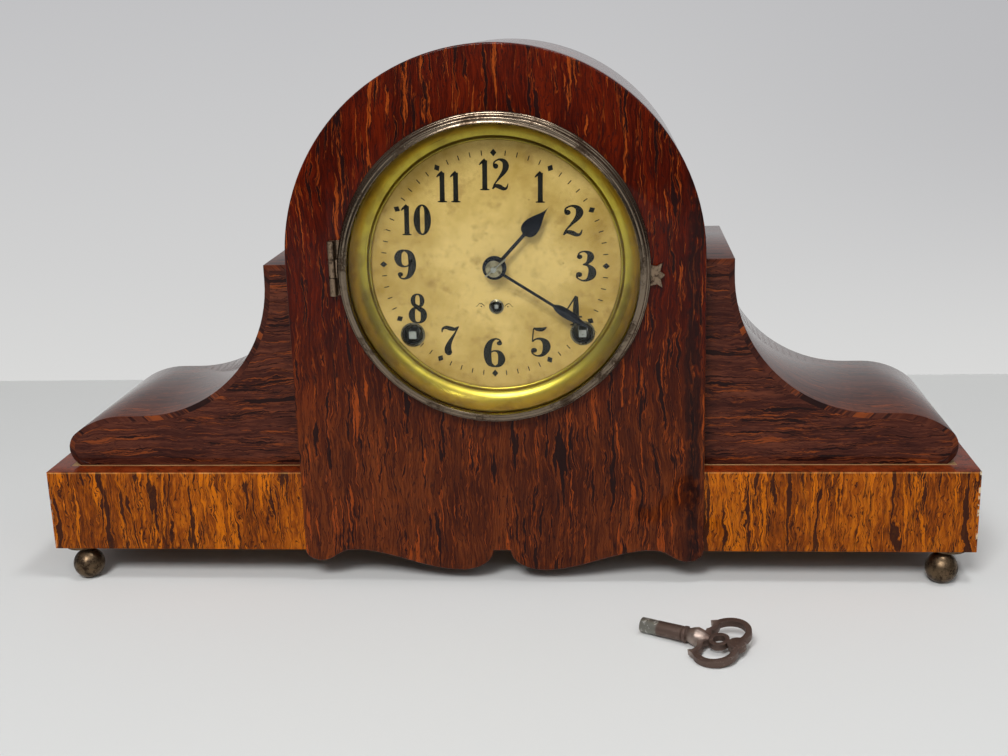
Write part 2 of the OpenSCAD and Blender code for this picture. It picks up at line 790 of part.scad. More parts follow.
// The glass is flat where it sits behind the lip and domed inside that.
function dome(r) = glass_rise * (1 - pow(r / dome_r, 2));

module bezel_glass() {
    n = 12;
    color("lightblue", 0.35) turned() polygon(concat(
        [for (i = [0:n]) let (r = dome_r * i / n) [r, lip_back - dome(r)]],
        [[glass_r, lip_back], [glass_r, lip_back + glass_t]],
        [for (i = [n:-1:0]) let (r = dome_r * i / n) [r, lip_back + glass_t - dome(r)]]));
}

module glass_clip_ring() {
    width = bezel_seat_r - bezel_lip_r - 0.7;
    color(pewter) turned() translate([glass_r - width, lip_back + glass_t]) square([width, clip_t]);
}

// The hinge's knuckles: part 0 is the two end ones and part 1 the middle one.
module knuckles(at, r, pin, length, part) {
    third = length / 3;
    for (i = part == 1 ? [1] : [0, 2]) translate([at[0], at[1], at[2] - length / 2 + i * third + knuckle_gap])
        difference() {
            union() {
                cylinder(r=r, h=third - 2 * knuckle_gap);
                children();
            }
            translate([0, 0, -past]) cylinder(r=pin, h=third + 2 * past);
        }
}

module bezel_hinge_fixed() {
    third = hinge_l / 3;
    at = [hinge_x, hinge_y, hinge_z];
    color(steel) {
        difference() {
            union() {
                knuckles(at, hinge_r, hinge_pin_r, hinge_l, 0)
                    translate([-hinge_leaf_wing, 0, 0])
                        cube([2 * hinge_leaf_wing, hinge_front + hinge_leaf_t, third - 2 * knuckle_gap]);
                translate([hinge_x - hinge_leaf_wing, front_y, hinge_z - hinge_l / 2])
                    cube([hinge_leaf_x - hinge_x + hinge_leaf_wing, hinge_leaf_t, hinge_l]);
            }
        }
        translate([hinge_x, hinge_y, hinge_z - hinge_l / 2]) cylinder(r=hinge_pin_r, h=hinge_l);
    }
}

module bezel_hinge_moving() {
    third = hinge_l / 3;
    at = [hinge_x, hinge_y, hinge_z];
    color(steel) difference() {
        knuckles(at, hinge_r, hinge_pin_r + turning_gap, hinge_l, 1)
            translate([0, -hinge_leaf_t / 2, 0])
                cube([hinge_out + 2, 1.6, third - 2 * knuckle_gap]);
        bar(at_centre, bezel_r, bezel_front, bezel_back + past);
    }
}

// The forked thumb tab at the bezel's right-hand side.
module bezel_thumb_tab() {
    root = 2;
    fork = [[-root, -5.5], [3, -4.5], [5.5, -6.3], [4.6, -2.2], [6.8, 0.2], [4.4, 1.8], [5.3, 6], [2.6, 4.6],
            [-root, 5.5]];
    color(pewter) difference() {
        translate([bezel_r, 0, dial_z - tab_down]) slab(bezel_back - tab_t, bezel_back) polygon(fork);
        bar(at_centre, bezel_r, bezel_front, bezel_back + past);
    }
}

module each_dial_screw() {
    for (a = [45:90:315]) translate(polar_xz(dial_screw_d, a)) children();
}
function polar_xz(r, a) = [r * cos(a), 0, dial_z + r * sin(a)];

// A screw whose head sits on a face at depth y and whose shank runs to the front.
module screw_body(y) {
    translate([0, y, 0]) rotate([90, 0, 0]) cylinder(r=screw_r, h=screw_l);
}
module screw(y) {
    screw_body(y);
    translate([0, y + 1.2, 0]) rotate([90, 0, 0]) cylinder(r=screw_head_r, h=1.2);
}

module dial_plate() {
    color(cream) difference() {
        bar(at_centre, dial_r, dial_front, dial_back);
        for (at = [at_great, at_strike_great])
            bar(at, winding_hole_r + grommet_wall, dial_front - past, dial_back + past);
        bar(at_regulator, regulator_hole_r + grommet_wall, dial_front - past, dial_back + past);
        bar(at_centre, pipe_r + 0.8, dial_front - past, dial_back + past);
        each_dial_screw() screw_body(dial_back + past);
    }
}

// A bowl-shaped ring that rises from a bead on the dial to the front of the opening.
module reflector_ring() {
    n = 10;
    function bowl(r0, r1, d, back) =
        [for (i = [0:n]) let (a = 90 * i / n) [r0 + (r1 - r0) * sin(a), back - d * (1 - cos(a))]];
    color(brass) turned() {
        polygon(concat(bowl(bead_r, reflector_r - reflector_t, reflector_d, dial_front - reflector_t),
                       [for (i = [n:-1:0]) bowl(bead_r, reflector_r, reflector_d + reflector_t, dial_front)[i]]));
        translate([bead_r, dial_front - bead_wire_r]) circle(r=bead_wire_r);
    }
}

module grommet(at, hole, flange) {
    back = dial_back + grommet_flange;
    turned(at) polygon([
        [hole, dial_front - grommet_flange], [flange, dial_front - grommet_flange / 2], [flange, dial_front],
        [hole + grommet_wall, dial_front], [hole + grommet_wall, dial_back], [flange - 0.3, dial_back],
        [flange - 0.3, back - grommet_flange / 2], [hole, back]]);
}

module winding_grommets() {
    color(pewter) for (at = [at_great, at_strike_great]) grommet(at, winding_hole_r, grommet_r);
}
module regulator_grommet() { color(pewter) grommet(at_regulator, regulator_hole_r, regulator_grommet_r); }

// Places of the movement's brackets: corners of the plates, with the foot pointing outwards.
bracket_t = 1.2;
bracket_w = 10;
bracket_foot = 11;
bracket_tab = 9;
bracket_up = 40;
bracket_down = 52;
bracket_gap = 1;

// The inner corner of an upper bracket's foot just clears the dial plate.
bracket_x = sqrt(pow(dial_r + bracket_gap, 2) - pow(bracket_up - bracket_w / 2, 2));
module each_bracket() {
    for (side = [0, 1]) mirror([side, 0, 0]) for (z = [bracket_up, -bracket_down])
        translate([bracket_x, 0, dial_z + z]) children();
}

module movement_brackets() {
    tab = bracket_tab + max(0, bracket_x - plate_half);
    color(steel) each_bracket() difference() {
        union() {
            translate([0, panel_back, -bracket_w / 2]) cube([bracket_foot, bracket_t, bracket_w]);
            translate([0, panel_back, -bracket_w / 2]) cube([bracket_t, front_plate_y - panel_back, bracket_w]);
            translate([bracket_t - tab, front_plate_y - bracket_t, -bracket_w / 2]) cube([tab, bracket_t, bracket_w]);
        }
        translate([bracket_foot / 2, 0]) screw_body(panel_back + bracket_t + past);
    }
}

module case_screws() {
    color(steel) {
        each_dial_screw() screw(dial_back);
        each_bracket() translate([bracket_foot / 2, 0]) screw(panel_back + bracket_t);
    }
}

// Half width of a hand's spade, s out from the centre: a thin neck, round shoulders and a fine point.
function blade(s, length, wide, at, neck) =
    let (start = at * 0.84, left = (at - s) / (at - start), past_wide = (s - at) / (length - at))
    s <= start ? neck :
    s <= at ? neck + (wide / 2 - neck) * sqrt(1 - left * left) :
    wide / 2 * pow(cos(90 * past_wide), 2.2);

module hand(length, wide, at, neck, boss) {
    n = 64;
    first = boss * 0.6;
    spine = [for (i = [0:n]) let (s = first + (length - first) * i / n) [blade(s, length, wide, at, neck), s]];
    polygon(concat(spine, [for (i = [n - 1:-1:0]) [-spine[i][0], spine[i][1]]]));
}

module hour_hand() {
    color(dark_steel) translate([0, 0, dial_z]) slab(hour_hand_y, hour_hand_y + hand_t) rotate(-hour_at)
        difference() {
            union() {
                circle(r=hour_boss_r);
                hand(hour_l, hour_w, hour_wide_at, 0.9, hour_boss_r);
            }
            circle(r=pipe_r);
        }
}

module minute_hand() {
    color(dark_steel) translate([0, 0, dial_z]) slab(minute_hand_y, minute_hand_y + hand_t) rotate(-minute_at)
        difference() {
            union() {
                circle(r=minute_boss_r);
                hand(minute_l, minute_w, minute_wide_at, 0.7, minute_boss_r);
            }
            circle(r=hand_post_r);
        }
}

module hand_washer() {
    color(steel) difference() {
        turned() polygon([[hand_post_r, minute_hand_y - washer_t], [washer_r * 0.6, minute_hand_y - washer_t],
                          [washer_r, minute_hand_y - washer_t / 3], [washer_r, minute_hand_y],
                          [hand_post_r, minute_hand_y]]);
    }
}

pin_y = arbor_end + 1.3;
module pin_shape() {
    translate([0, pin_y, dial_z]) rotate([0, 50, 0]) translate([0, 0, -pin_l * 0.4]) cylinder(r=pin_r, h=pin_l);
}
module hand_pin() { color(steel) pin_shape(); }

// Outline of a wheel with the middle of one tooth at angle 0.
function teeth_pts(n, m) =
    let (r = n * m / 2, p = PI * m, root = r - dedendum * m, tip = r + addendum * m)
    [for (i = [0:n - 1])
        for (c = [[-root_share * p, root], [-tip_share * p, tip], [tip_share * p, tip], [root_share * p, root]])
            polar(c[1], 360 * i / n + c[0] / c[1] * 180 / PI)];

// A wheel at a layer behind the front plate, crossed out with spokes, tooth at angle turn.
module wheel(at, n, m, layer, thick, turn, hub, rim, spokes) {
    y = inner_y + layer;
    inner = n * m / 2 - rim;
    translate([at[0], 0, dial_z + at[1]]) slab(y - thick / 2, y + thick / 2) rotate(turn) difference() {
        polygon(teeth_pts(n, m));
        difference() {
            circle(r=inner);
            circle(r=hub);
            for (i = [0:spokes - 1]) rotate(360 * i / spokes) translate([0, -rim / 3]) square([inner + 1, rim * 2 / 3]);
        }
    }
}

// A lantern pinion: round trundles between two shrouds, with a gap between trundles at angle turn.
module lantern(at, leaves, m, layer, turn) {
    y = inner_y + layer;
    r = leaves * m / 2;
    shroud = r + trundle_share * m + 0.5;
    for (side = [-1, 1])
        bar(at, shroud, y + side * (pinion_l - shroud_t) / 2 - shroud_t / 2, y + side * (pinion_l - shroud_t) / 2 + shroud_t / 2);
    for (i = [0:leaves - 1]) let (a = turn + 360 * (i + 0.5) / leaves)
        bar(at + polar(r, a), trundle_share * m, y - pinion_l / 2, y + pinion_l / 2);
}

// An arbor between the plates, with a pivot through each plate.
module arbor(at, body, pivot) {
    bar(at, body, inner_y + 0.3, back_plate_y - 0.3);
    bar(at, pivot, front_plate_y - 0.2, rear_y + 0.2);
}

module centre_arbor() {
    change_y = front_plate_y - 2.6;
    color(steel) difference() {
        union() {
            bar(at_centre, arbor_r, front_plate_y - 3, back_plate_y - 0.3);
            bar(at_centre, pivot_r, back_plate_y - 1, rear_y + 0.2);
            bar(at_centre, cannon_r, minute_hand_y + hand_t, front_plate_y - 0.3);
            bar(at_centre, hand_post_r, arbor_end, minute_hand_y + 2);
            translate([0, 0, dial_z]) slab(change_y, change_y + 1.4) rotate(motion_dir)
                polygon(teeth_pts(cannon_teeth, 2 * motion_d / (cannon_teeth + minute_teeth)));
        }
        pin_shape();
    }
}

hour_wheel_y = front_plate_y - 5.2;
hour_wheel_t = 1.2;
module hour_pipe() {
    m = 2 * motion_d / (change_teeth + hour_teeth);
    color(brass) difference() {
        union() {
            bar(at_centre, pipe_r, hour_hand_y, hour_wheel_y + hour_wheel_t);
            translate([0, 0, dial_z]) slab(hour_wheel_y, hour_wheel_y + hour_wheel_t) rotate(motion_dir)
                polygon(teeth_pts(hour_teeth, m));
        }
        bar(at_centre, cannon_r + turning_gap, hour_hand_y - past, hour_wheel_y + hour_wheel_t + past);
    }
}

// The wheel and pinion between the centre arbor and the hour wheel, on a post of the front plate.
post_r = 1;
module minute_wheel() {
    wheel_y = front_plate_y - 2.5;
    pinion_y = hour_wheel_y - 0.2;
    m_wheel = 2 * motion_d / (cannon_teeth + minute_teeth);
    m_pinion = 2 * motion_d / (change_teeth + hour_teeth);
    color(brass) difference() {
        translate([at_minute[0], 0, dial_z + at_minute[1]]) {
            slab(wheel_y, wheel_y + 1.2) rotate(motion_dir + 180 + 180 / minute_teeth)
                polygon(teeth_pts(minute_teeth, m_wheel));
            slab(pinion_y, wheel_y) rotate(motion_dir + 180 + 180 / change_teeth)
                polygon(teeth_pts(change_teeth, m_pinion));
        }
        bar(at_minute, post_r + turning_gap, pinion_y - past, front_plate_y);
    }
}

// Every arbor that turns in both plates, with the radius of its pivot.
function both_plates() = [
    [at_second, pivot_r], [at_third, fine_pivot_r], [at_escape, fine_pivot_r],
    [at_strike_second, pivot_r], [at_strike_third, pivot_r], [at_fly, fine_pivot_r]];

module each_pillar() {
    for (side = [0, 1]) mirror([side, 0, 0]) for (z = [plate_up - pillar_in, -plate_down + pillar_in])
        translate([plate_half - pillar_in - (z > 0 ? plate_cut : 0), 0, dial_z + z]) children();
}

module plate_outline() {
    difference() {
        translate([-plate_half, dial_z - plate_down]) square([2 * plate_half, plate_up + plate_down]);
        for (side = [0, 1]) mirror([side, 0])
            polygon([[plate_half, dial_z + plate_up - plate_cut], [plate_half, dial_z + plate_up + past],
                     [plate_half - plate_cut, dial_z + plate_up + past], [plate_half - plate_cut, dial_z + plate_up]]);
    }
}

module plate(y) {
    difference() {
        slab(y, y + plate_t) plate_outline();
        for (a = both_plates()) bar(a[0], a[1] + turning_gap, y - past, y + plate_t + past);
        for (at = [at_great, at_strike_great]) bar(at, winding_r + turning_gap, y - past, y + plate_t + past);
        bar(at_verge, arbor_r + turning_gap, y - past, y + plate_t + past);
        bar(at_hammer, arbor_r + turning_gap, y - past, y + plate_t + past);
        each_pillar() translate([0, y + plate_t + past, 0]) rotate([90, 0, 0]) cylinder(r=pillar_screw_r, h=plate_t + 2 * past);
    }
}

module movement_front_plate() {
    color(brass) {
        difference() {
            plate(front_plate_y);
            bar(at_centre, arbor_r + turning_gap, front_plate_y - past, inner_y + past);
            bar(at_regulator, regulator_r + turning_gap, front_plate_y - past, inner_y + past);
        }
        bar(at_minute, post_r, hour_wheel_y - 0.6, front_plate_y + plate_t / 2);
    }
}

module movement_back_plate() {
    color(brass) {
        difference() {
            plate(back_plate_y);
            bar(at_centre, pivot_r + turning_gap, back_plate_y - past, rear_y + past);
        }
        bar([0, verge_z + bridge_r + 1.8], bridge_r, back_plate_y + plate_t / 2, rod_y + 3);
    }
}

module movement_pillars() {
    color(brass) each_pillar() {
        translate([0, back_plate_y, 0]) rotate([90, 0, 0]) cylinder(r=pillar_r, h=plate_gap);
        translate([0, rear_y + 2.6, 0]) rotate([90, 0, 0]) cylinder(r=pillar_screw_r, h=plate_gap + 2 * plate_t + 2.6);
        translate([0, rear_y + 2, 0]) rotate([90, 0, 0]) cylinder(r=pillar_r, h=2, $fn=6);
    }
}

// A flat spiral from the hub out to the outer turn.
module spiral_spring() {
    steps = spring_turns * 20;
    function at(i, side) =
        polar(spring_hub_r + 0.3 + (spring_r - spring_hub_r - 0.3 - spring_t) * i / steps + side * spring_t, 18 * i);
    polygon(concat([for (i = [0:steps]) at(i, 0)], [for (i = [steps:-1:0]) at(i, 1)]));
}

module mainsprings() {
    color("#55565c") for (side = [0, 1]) mirror([side, 0, 0])
        translate([winding_dx, 0, dial_z - winding_down])
            slab(inner_y + spring_at, inner_y + spring_at + spring_w) spiral_spring();
}

// Ratchet teeth: a slope up and a radial drop.
function ratchet_pts() = [for (i = [0:ratchet_teeth - 1]) each
    [polar(ratchet_r - 1.6, 360 * i / ratchet_teeth), polar(ratchet_r, 360 * (i + 0.95) / ratchet_teeth)]];

module winding_arbor(at) {
    ratchet_y = inner_y + great_at - great_t / 2 - 2;
    color(steel) {
        bar(at, winding_r, front_plate_y - 0.6, rear_y + 0.2);
        bar(at, spring_hub_r, inner_y + spring_at, inner_y + spring_at + spring_w);
        translate([at[0], 0, dial_z + at[1]]) {
            slab(ratchet_y, ratchet_y + 1.7) polygon(ratchet_pts());
            translate([-winding_square / 2, dial_front - winding_out, -winding_square / 2])
                cube([winding_square, front_plate_y - dial_front + winding_out - 0.2, winding_square]);
        }
    }
}
module time_winding_arbor() { winding_arbor(at_great); }
module strike_winding_arbor() { winding_arbor(at_strike_great); }

// A great wheel runs free on its winding arbor and carries the click on a stud.
module great_wheel(at, turn) {
    face = inner_y + great_at - great_t / 2;
    stud = ratchet_r + 3.4;
    color(brass) difference() {
        union() {
            wheel(at, great_teeth, great_m, great_at, great_t, turn, ratchet_r + 6, 4, 5);
            bar(at + polar(stud, 120), 1.4, face - 2.4, face);
            translate([at[0], 0, dial_z + at[1]]) slab(face - 2.2, face - 0.6) rotate(120)
                polygon([[stud + 1.4, -1], [stud + 1.4, 1], [ratchet_r + 1.9, 5], [ratchet_r + 0.4, 4.6], [stud - 1.4, -1]]);
        }
        bar(at, winding_r + turning_gap, face - 3, face + great_t + past);
    }
}
module time_great_wheel() { great_wheel(at_great, bearing(at_great, at_second)); }
module strike_great_wheel() { great_wheel(at_strike_great, bearing(at_strike_great, at_strike_second)); }

module time_second_wheel() {
    color(brass) {
        arbor(at_second, arbor_r, pivot_r);
        lantern(at_second, heavy_leaves, great_m, great_at, bearing(at_second, at_great));
        wheel(at_second, second_teeth, second_m, second_at, wheel_t, bearing(at_second, at_centre), 5, 3.4, 5);
    }
}

// The centre wheel runs on a tube round the centre arbor, held by a friction spring.
tube_r = 2;
module centre_wheel() {
    y0 = inner_y + centre_at - 2;
    color(brass) difference() {
        union() {
            bar(at_centre, tube_r, y0, back_plate_y - 0.4);
            bar(at_centre, 4.2, y0, inner_y + centre_at);
            lantern(at_centre, heavy_leaves, second_m, second_at - 0.2, bearing(at_centre, at_second));
            wheel(at_centre, centre_teeth, fine_m, centre_at, wheel_t, bearing(at_centre, at_third), 5, 3, 5);
        }
        bar(at_centre, arbor_r + turning_gap, y0 - past, back_plate_y + past);
    }
}

module third_wheel() {
    color(brass) {
        arbor(at_third, fine_arbor_r, fine_pivot_r);
        lantern(at_third, fine_leaves, fine_m, centre_at, bearing(at_third, at_centre));
        wheel(at_third, third_teeth, fine_m, third_at, wheel_t, bearing(at_third, at_escape), 3.4, 2.6, 5);
    }
}

function escape_pts() = [for (i = [0:escape_teeth - 1]) each
    [polar(escape_r - 1.3, 360 * i / escape_teeth), polar(escape_r, 360 * (i + 0.7) / escape_teeth),
     polar(escape_r - 0.1, 360 * (i + 0.8) / escape_teeth)]];

module escape_wheel() {
    y = inner_y + escape_at;
    color(brass) {
        arbor(at_escape, fine_arbor_r, fine_pivot_r);
        lantern(at_escape, fine_leaves, fine_m, third_at, bearing(at_escape, at_third));
        translate([0, 0, dial_z + escape_up]) slab(y - 0.4, y + 0.4) difference() {
            polygon(escape_pts());
            difference() {
                circle(r=escape_r - 2.8);
                circle(r=2.6);
                for (i = [0:3]) rotate(90 * i) translate([0, -0.6]) square([escape_r, 1.2]);
            }
        }
    }
}

// The verge: two strip arms over the escape wheel, and a crutch that reaches down behind the plate.
crutch_l = 34;
module verge() {
    y = inner_y + escape_at;
    crutch_y = rear_y + 1;
    fork = rod_r + 0.35;
    color(steel) {
        bar(at_verge, arbor_r, front_plate_y - 0.2, crutch_y + 1.6);
        translate([0, 0, dial_z + verge_z]) {
            slab(y - 2, y + 2) for (side = [-1, 1]) rotate(-90 + side * verge_spread)
                translate([0, -0.5]) square([verge_reach, 1]);
            slab(crutch_y, crutch_y + 1.6) translate([-0.8, -crutch_l]) square([1.6, crutch_l]);
            translate([-2.6, crutch_y, -crutch_l - 1.6]) cube([5.2, 1.6, 1.8]);
            for (side = [0, 1]) mirror([side, 0, 0]) translate([fork, crutch_y, -crutch_l - 1.6])
                cube([1.2, rod_y - crutch_y + rod_r + 1, 1.6]);
        }
    }
}

module pendulum_rod() {
    top = dial_z + verge_z;
    spring_end = top - suspension_l;
    bob_bottom = top - pendulum_l - bob_r;
    thread = 2.4 * rating_nut_r;
    color(steel) {
        translate([-clasp_r, rod_y - suspension_t / 2, spring_end])
            cube([2 * clasp_r, suspension_t, suspension_l + bridge_r / 2]);
        translate([0, rod_y, bob_bottom - thread]) cylinder(r=rod_r, h=spring_end + clasp_r - bob_bottom + thread);
        translate([0, rod_y, bob_bottom - rating_nut_r * 1.6]) cylinder(r=rating_nut_r, h=rating_nut_r * 1.4, $fn=6);
        translate([0, rod_y, spring_end - 1.8 * clasp_r]) cylinder(r=clasp_r, h=2.4 * clasp_r);
    }
}

module pendulum_bob() {
    flat = bob_t * 0.24;
    color(brass) difference() {
        translate([0, rod_y, dial_z + verge_z - pendulum_l]) rotate([-90, 0, 0]) rotate_extrude()
            polygon(concat([[0, -bob_t / 2]], [for (i = [1:6]) let (a = 90 * i / 6)
                    [bob_r * sin(a), -flat / 2 - (bob_t - flat) / 2 * cos(a)]],
                [for (i = [6:-1:1]) let (a = 90 * i / 6) [bob_r * sin(a), flat / 2 + (bob_t - flat) / 2 * cos(a)]],
                [[0, bob_t / 2]]));
        translate([0, rod_y, dial_z + verge_z - pendulum_l - bob_r - past])
            cylinder(r=rod_r, h=2 * bob_r + 2 * past);
    }
}

module regulator_arbor() {
    side = 1.9;
    color(steel) {
        bar(at_regulator, regulator_r, dial_back, inner_y + 3);
        bar(at_regulator, 2.4, inner_y + 0.3, inner_y + 2);
        translate([-side / 2, dial_front - 0.6, dial_z - regulator_down - side / 2]) cube([side, 5, side]);
    }
}

module strike_second_wheel() {
    at = at_strike_second;
    color(brass) {
        arbor(at, arbor_r, pivot_r);
        lantern(at, heavy_leaves, great_m, great_at, bearing(at, at_strike_great));
        wheel(at, strike_teeth, strike_m, second_at, wheel_t, bearing(at, at_strike_third), 4, 3, 5);
        for (i = [0:7]) bar(at + polar(strike_teeth * strike_m / 2 - 1.6, 45 * i), 0.5, inner_y + second_at - 3, inner_y + second_at);
    }
}

module strike_third_wheel() {
    at = at_strike_third;
    color(brass) {
        arbor(at, fine_arbor_r, pivot_r);
        lantern(at, heavy_leaves, strike_m, second_at - 0.2, bearing(at, at_strike_second));
        wheel(at, strike_teeth, fine_m, strike_third_at, wheel_t, bearing(at, at_fly), 3.4, 2.6, 5);
    }
}

module strike_fly() {
    y = inner_y + fly_at;
    color(brass) {
        arbor(at_fly, fine_arbor_r, fine_pivot_r);
        lantern(at_fly, fine_leaves, fine_m, strike_third_at, bearing(at_fly, at_strike_third));
        translate([at_fly[0] - fly_r, y, dial_z + at_fly[1] - 0.3]) cube([2 * fly_r, fly_l, 0.6]);
        bar(at_fly, 1.6, y, y + fly_l);
    }
}

// The hammer's arbor runs on behind the plate; its arm hangs down to a head beside the gong.
module hammer() {
    reach = dial_z - hammer_down - gong_z;
    face_x = -gong_r - gong_wire_r - 0.7;
    head_mid = face_x - hammer_head_l / 2;
    run = head_mid + hammer_dx;
    color(steel) {
        bar(at_hammer, arbor_r, front_plate_y - 0.2, gong_y + arbor_r);
        translate([-hammer_dx, gong_y, dial_z - hammer_down]) rotate([0, 180 - atan2(run, reach), 0])
            cylinder(r=1.1, h=norm([run, reach]));
        translate([face_x - hammer_head_l, gong_y, gong_z]) rotate([0, 90, 0]) cylinder(r=hammer_head_r, h=hammer_head_l);
    }
}

// The coil gong: one wire that winds out from its block, swept along a spiral.
gong_sides = 6;
gong_steps = gong_turns * 24;
function gong_radius(i) =
    gong_block_r + gong_wire_r * 0.5 + (gong_r - gong_block_r - gong_wire_r * 0.5) * i / gong_steps;
function gong_ring(i) = let (a = 15 * i + 180 - 15 * gong_steps, r = gong_radius(i))
    [for (k = [0:gong_sides - 1]) let (b = 360 * k / gong_sides)
        [(r + gong_wire_r * cos(b)) * cos(a), gong_wire_r * sin(b), (r + gong_wire_r * cos(b)) * sin(a)]];

// The least gap between one turn's wire and the next, measured between points a turn apart.
gong_gap = min([for (i = [0:gong_steps - 24]) norm(gong_ring(i + 24)[gong_sides / 2] - gong_ring(i)[0])]);
echo(gong_gap=gong_gap);

module gong_coil() {
    n = gong_sides;
    last = gong_steps * n;
    points = [for (i = [0:gong_steps]) each gong_ring(i)];
    faces = concat(
        [[for (k = [0:n - 1]) k]],
        [for (i = [0:gong_steps - 1]) for (k = [0:n - 1]) let (a = i * n + k, b = i * n + (k + 1) % n) each
            [[a, a + n, b + n], [a, b + n, b]]],
        [[for (k = [n - 1:-1:0]) last + k]]);
    color("#4b5a78") translate([0, gong_y, gong_z]) polyhedron(points=points, faces=faces, convexity=8);
}

module gong_stand() {
    column_y = gong_y + gong_wire_r + stand_gap;
    column_t = stand_w / 3;
    foot_past = stand_w / 4;
    foot_w = stand_w * 2;
    color("#3a3a3c") {
        translate([0, column_y + column_t, gong_z]) rotate([90, 0, 0])
            cylinder(r=gong_block_r - gong_wire_r / 2, h=column_t + stand_gap + 2 * gong_wire_r);
        translate([-stand_w / 2, column_y, plinth_top]) cube([stand_w, column_t, gong_z - plinth_top]);
        translate([-foot_w / 2, column_y - foot_past, plinth_top])
            cube([foot_w, column_t + 2 * foot_past, stand_foot_t]);
    }
}

module back_door() {
    color(bare_wood) {
        translate([0, door_back, door_z]) rotate([90, 0, 0]) cylinder(r=door_r, h=door_t);
        translate([door_r - knob_in, door_back + knob_l, door_z]) rotate([90, 0, 0]) cylinder(r=knob_r, h=knob_l);
    }
}

module back_door_hinge_fixed() {
    third = door_hinge_l / 3;
    color(brass) {
        knuckles([door_hinge_x, door_hinge_y, door_z], door_hinge_r, hinge_pin_r, door_hinge_l, 0)
            translate([-door_leaf_l, -door_hinge_back, 0]) cube([door_leaf_l, door_leaf_t, third - 2 * knuckle_gap]);
        for (z = [0, 2 * third]) translate([door_hinge_x - door_hinge_r, board_back, door_z - door_hinge_l / 2 + z + knuckle_gap])
            cube([door_hinge_r, door_hinge_back, third - 2 * knuckle_gap]);
        translate([door_hinge_x - door_leaf_l, board_back, door_z - door_hinge_l / 2])
            cube([door_leaf_l - door_hinge_r - 0.5, door_leaf_t, door_hinge_l]);
        translate([door_hinge_x, door_hinge_y, door_z - door_hinge_l / 2]) cylinder(r=hinge_pin_r, h=door_hinge_l);
    }
}

module back_door_hinge_moving() {
    third = door_hinge_l / 3;
    rise = door_back - door_hinge_y;
    color(brass) {
        knuckles([door_hinge_x, door_hinge_y, door_z], door_hinge_r, hinge_pin_r + turning_gap, door_hinge_l, 1)
            translate([0, rise, 0]) cube([door_hinge_out + door_leaf_l, door_leaf_t, third - 2 * knuckle_gap]);
    }
}

// The key lies on the table on its barrel's tip and its swelling, rolled over on to one lobe of its bow.
module key_scoops(r) {
    for (side = [-1, 1])
        translate([key_lobe_at - key_scoop_back, side * (key_lobe_apart / 2 + key_scoop_out)]) circle(r=r);
}

module key_lobes(r) {
    for (side = [-1, 1]) translate([key_lobe_at, side * key_lobe_apart / 2]) circle(r=r);
}

module key_horns() {
    reach = norm([key_horn_back, key_horn_out]);
    turn = atan2(key_horn_out, -key_horn_back) - acos(key_lobe_r / reach);
    root = key_lobe_r - key_strip_w / 3;
    for (side = [-1, 1]) translate([key_lobe_at, side * key_lobe_apart / 2]) polygon([
        [0, 0], [-key_horn_back, side * key_horn_out], root * [cos(turn), side * sin(turn)]]);
}

module key_bow() {
    difference() {
        union() {
            key_lobes(key_lobe_r);
            key_horns();
            translate([key_l - key_crown_r, 0]) circle(r=key_crown_r);
        }
        key_scoops(key_scoop_r);
        difference() {
            key_lobes(key_lobe_r - key_strip_w);
            key_scoops(key_scoop_r + key_strip_w);
            translate([key_lobe_at - key_strip_w / 2, 0]) circle(r=key_middle_r);
            translate([key_l - key_crown_r, 0]) circle(r=key_crown_r);
        }
        translate([key_lobe_at - key_strip_w / 2, 0]) circle(r=key_middle_hole_r);
    }
}

module winding_key() {
    neck = key_swell_at + key_swell_r * 1.4;
    collar_r = key_barrel_r + 0.3;
    groove_r = key_barrel_r - 0.7;
    groove = key_barrel_r / 6;
    color("#6b5750") translate([key_x, -key_front, 0]) rotate(-key_turn) translate([0, 0, key_barrel_r])
        rotate([0, -key_rise, 0]) rotate([key_roll, 0, 0]) difference() {
            union() {
                rotate([0, 90, 0]) rotate_extrude() polygon([
                    [0, 0], [key_barrel_r, 0], [key_barrel_r, key_barrel_l], [groove_r, key_barrel_l + groove],
                    [collar_r, key_barrel_l + 2 * groove], [collar_r, key_barrel_l + 4 * groove],
                    [groove_r, key_barrel_l + 5 * groove], [key_swell_r * 0.87, key_swell_at - key_swell_r / 2],
                    [key_swell_r, key_swell_at], [key_swell_r * 0.83, key_swell_at + key_swell_r * 0.6],
                    [groove_r * 0.7, neck], [0, neck]]);
                translate([0, 0, -key_bow_t / 2]) linear_extrude(key_bow_t) key_bow();
            }
            translate([-past, -key_socket / 2, -key_socket / 2]) cube([key_socket_d + past, key_socket, key_socket]);
        }
}

front_panel();
drum_hood();
back_board();
left_wing_cheeks();
left_wing_top();
right_wing_cheeks();
right_wing_top();
plinth_front_left();
plinth_front_right();
plinth_ends();
plinth_back();
plinth_deck();
glue_blocks();
ball_feet();
foot_plates();
bezel_ring();
bezel_glass();
glass_clip_ring();
bezel_hinge_fixed();
bezel_hinge_moving();
bezel_thumb_tab();
dial_plate();
reflector_ring();
winding_grommets();
regulator_grommet();
case_screws();
hour_hand();
minute_hand();
hand_washer();
hand_pin();
centre_arbor();
hour_pipe();
minute_wheel();
movement_front_plate();
movement_back_plate();
movement_pillars();
movement_brackets();
mainsprings();
time_winding_arbor();
time_great_wheel();
time_second_wheel();
centre_wheel();
third_wheel();
escape_wheel();
verge();
pendulum_rod();
pendulum_bob();
regulator_arbor();
strike_winding_arbor();
strike_great_wheel();
strike_second_wheel();
strike_third_wheel();
strike_fly();
hammer();
gong_coil();
gong_stand();
back_door();
back_door_hinge_fixed();
back_door_hinge_moving();
winding_key();
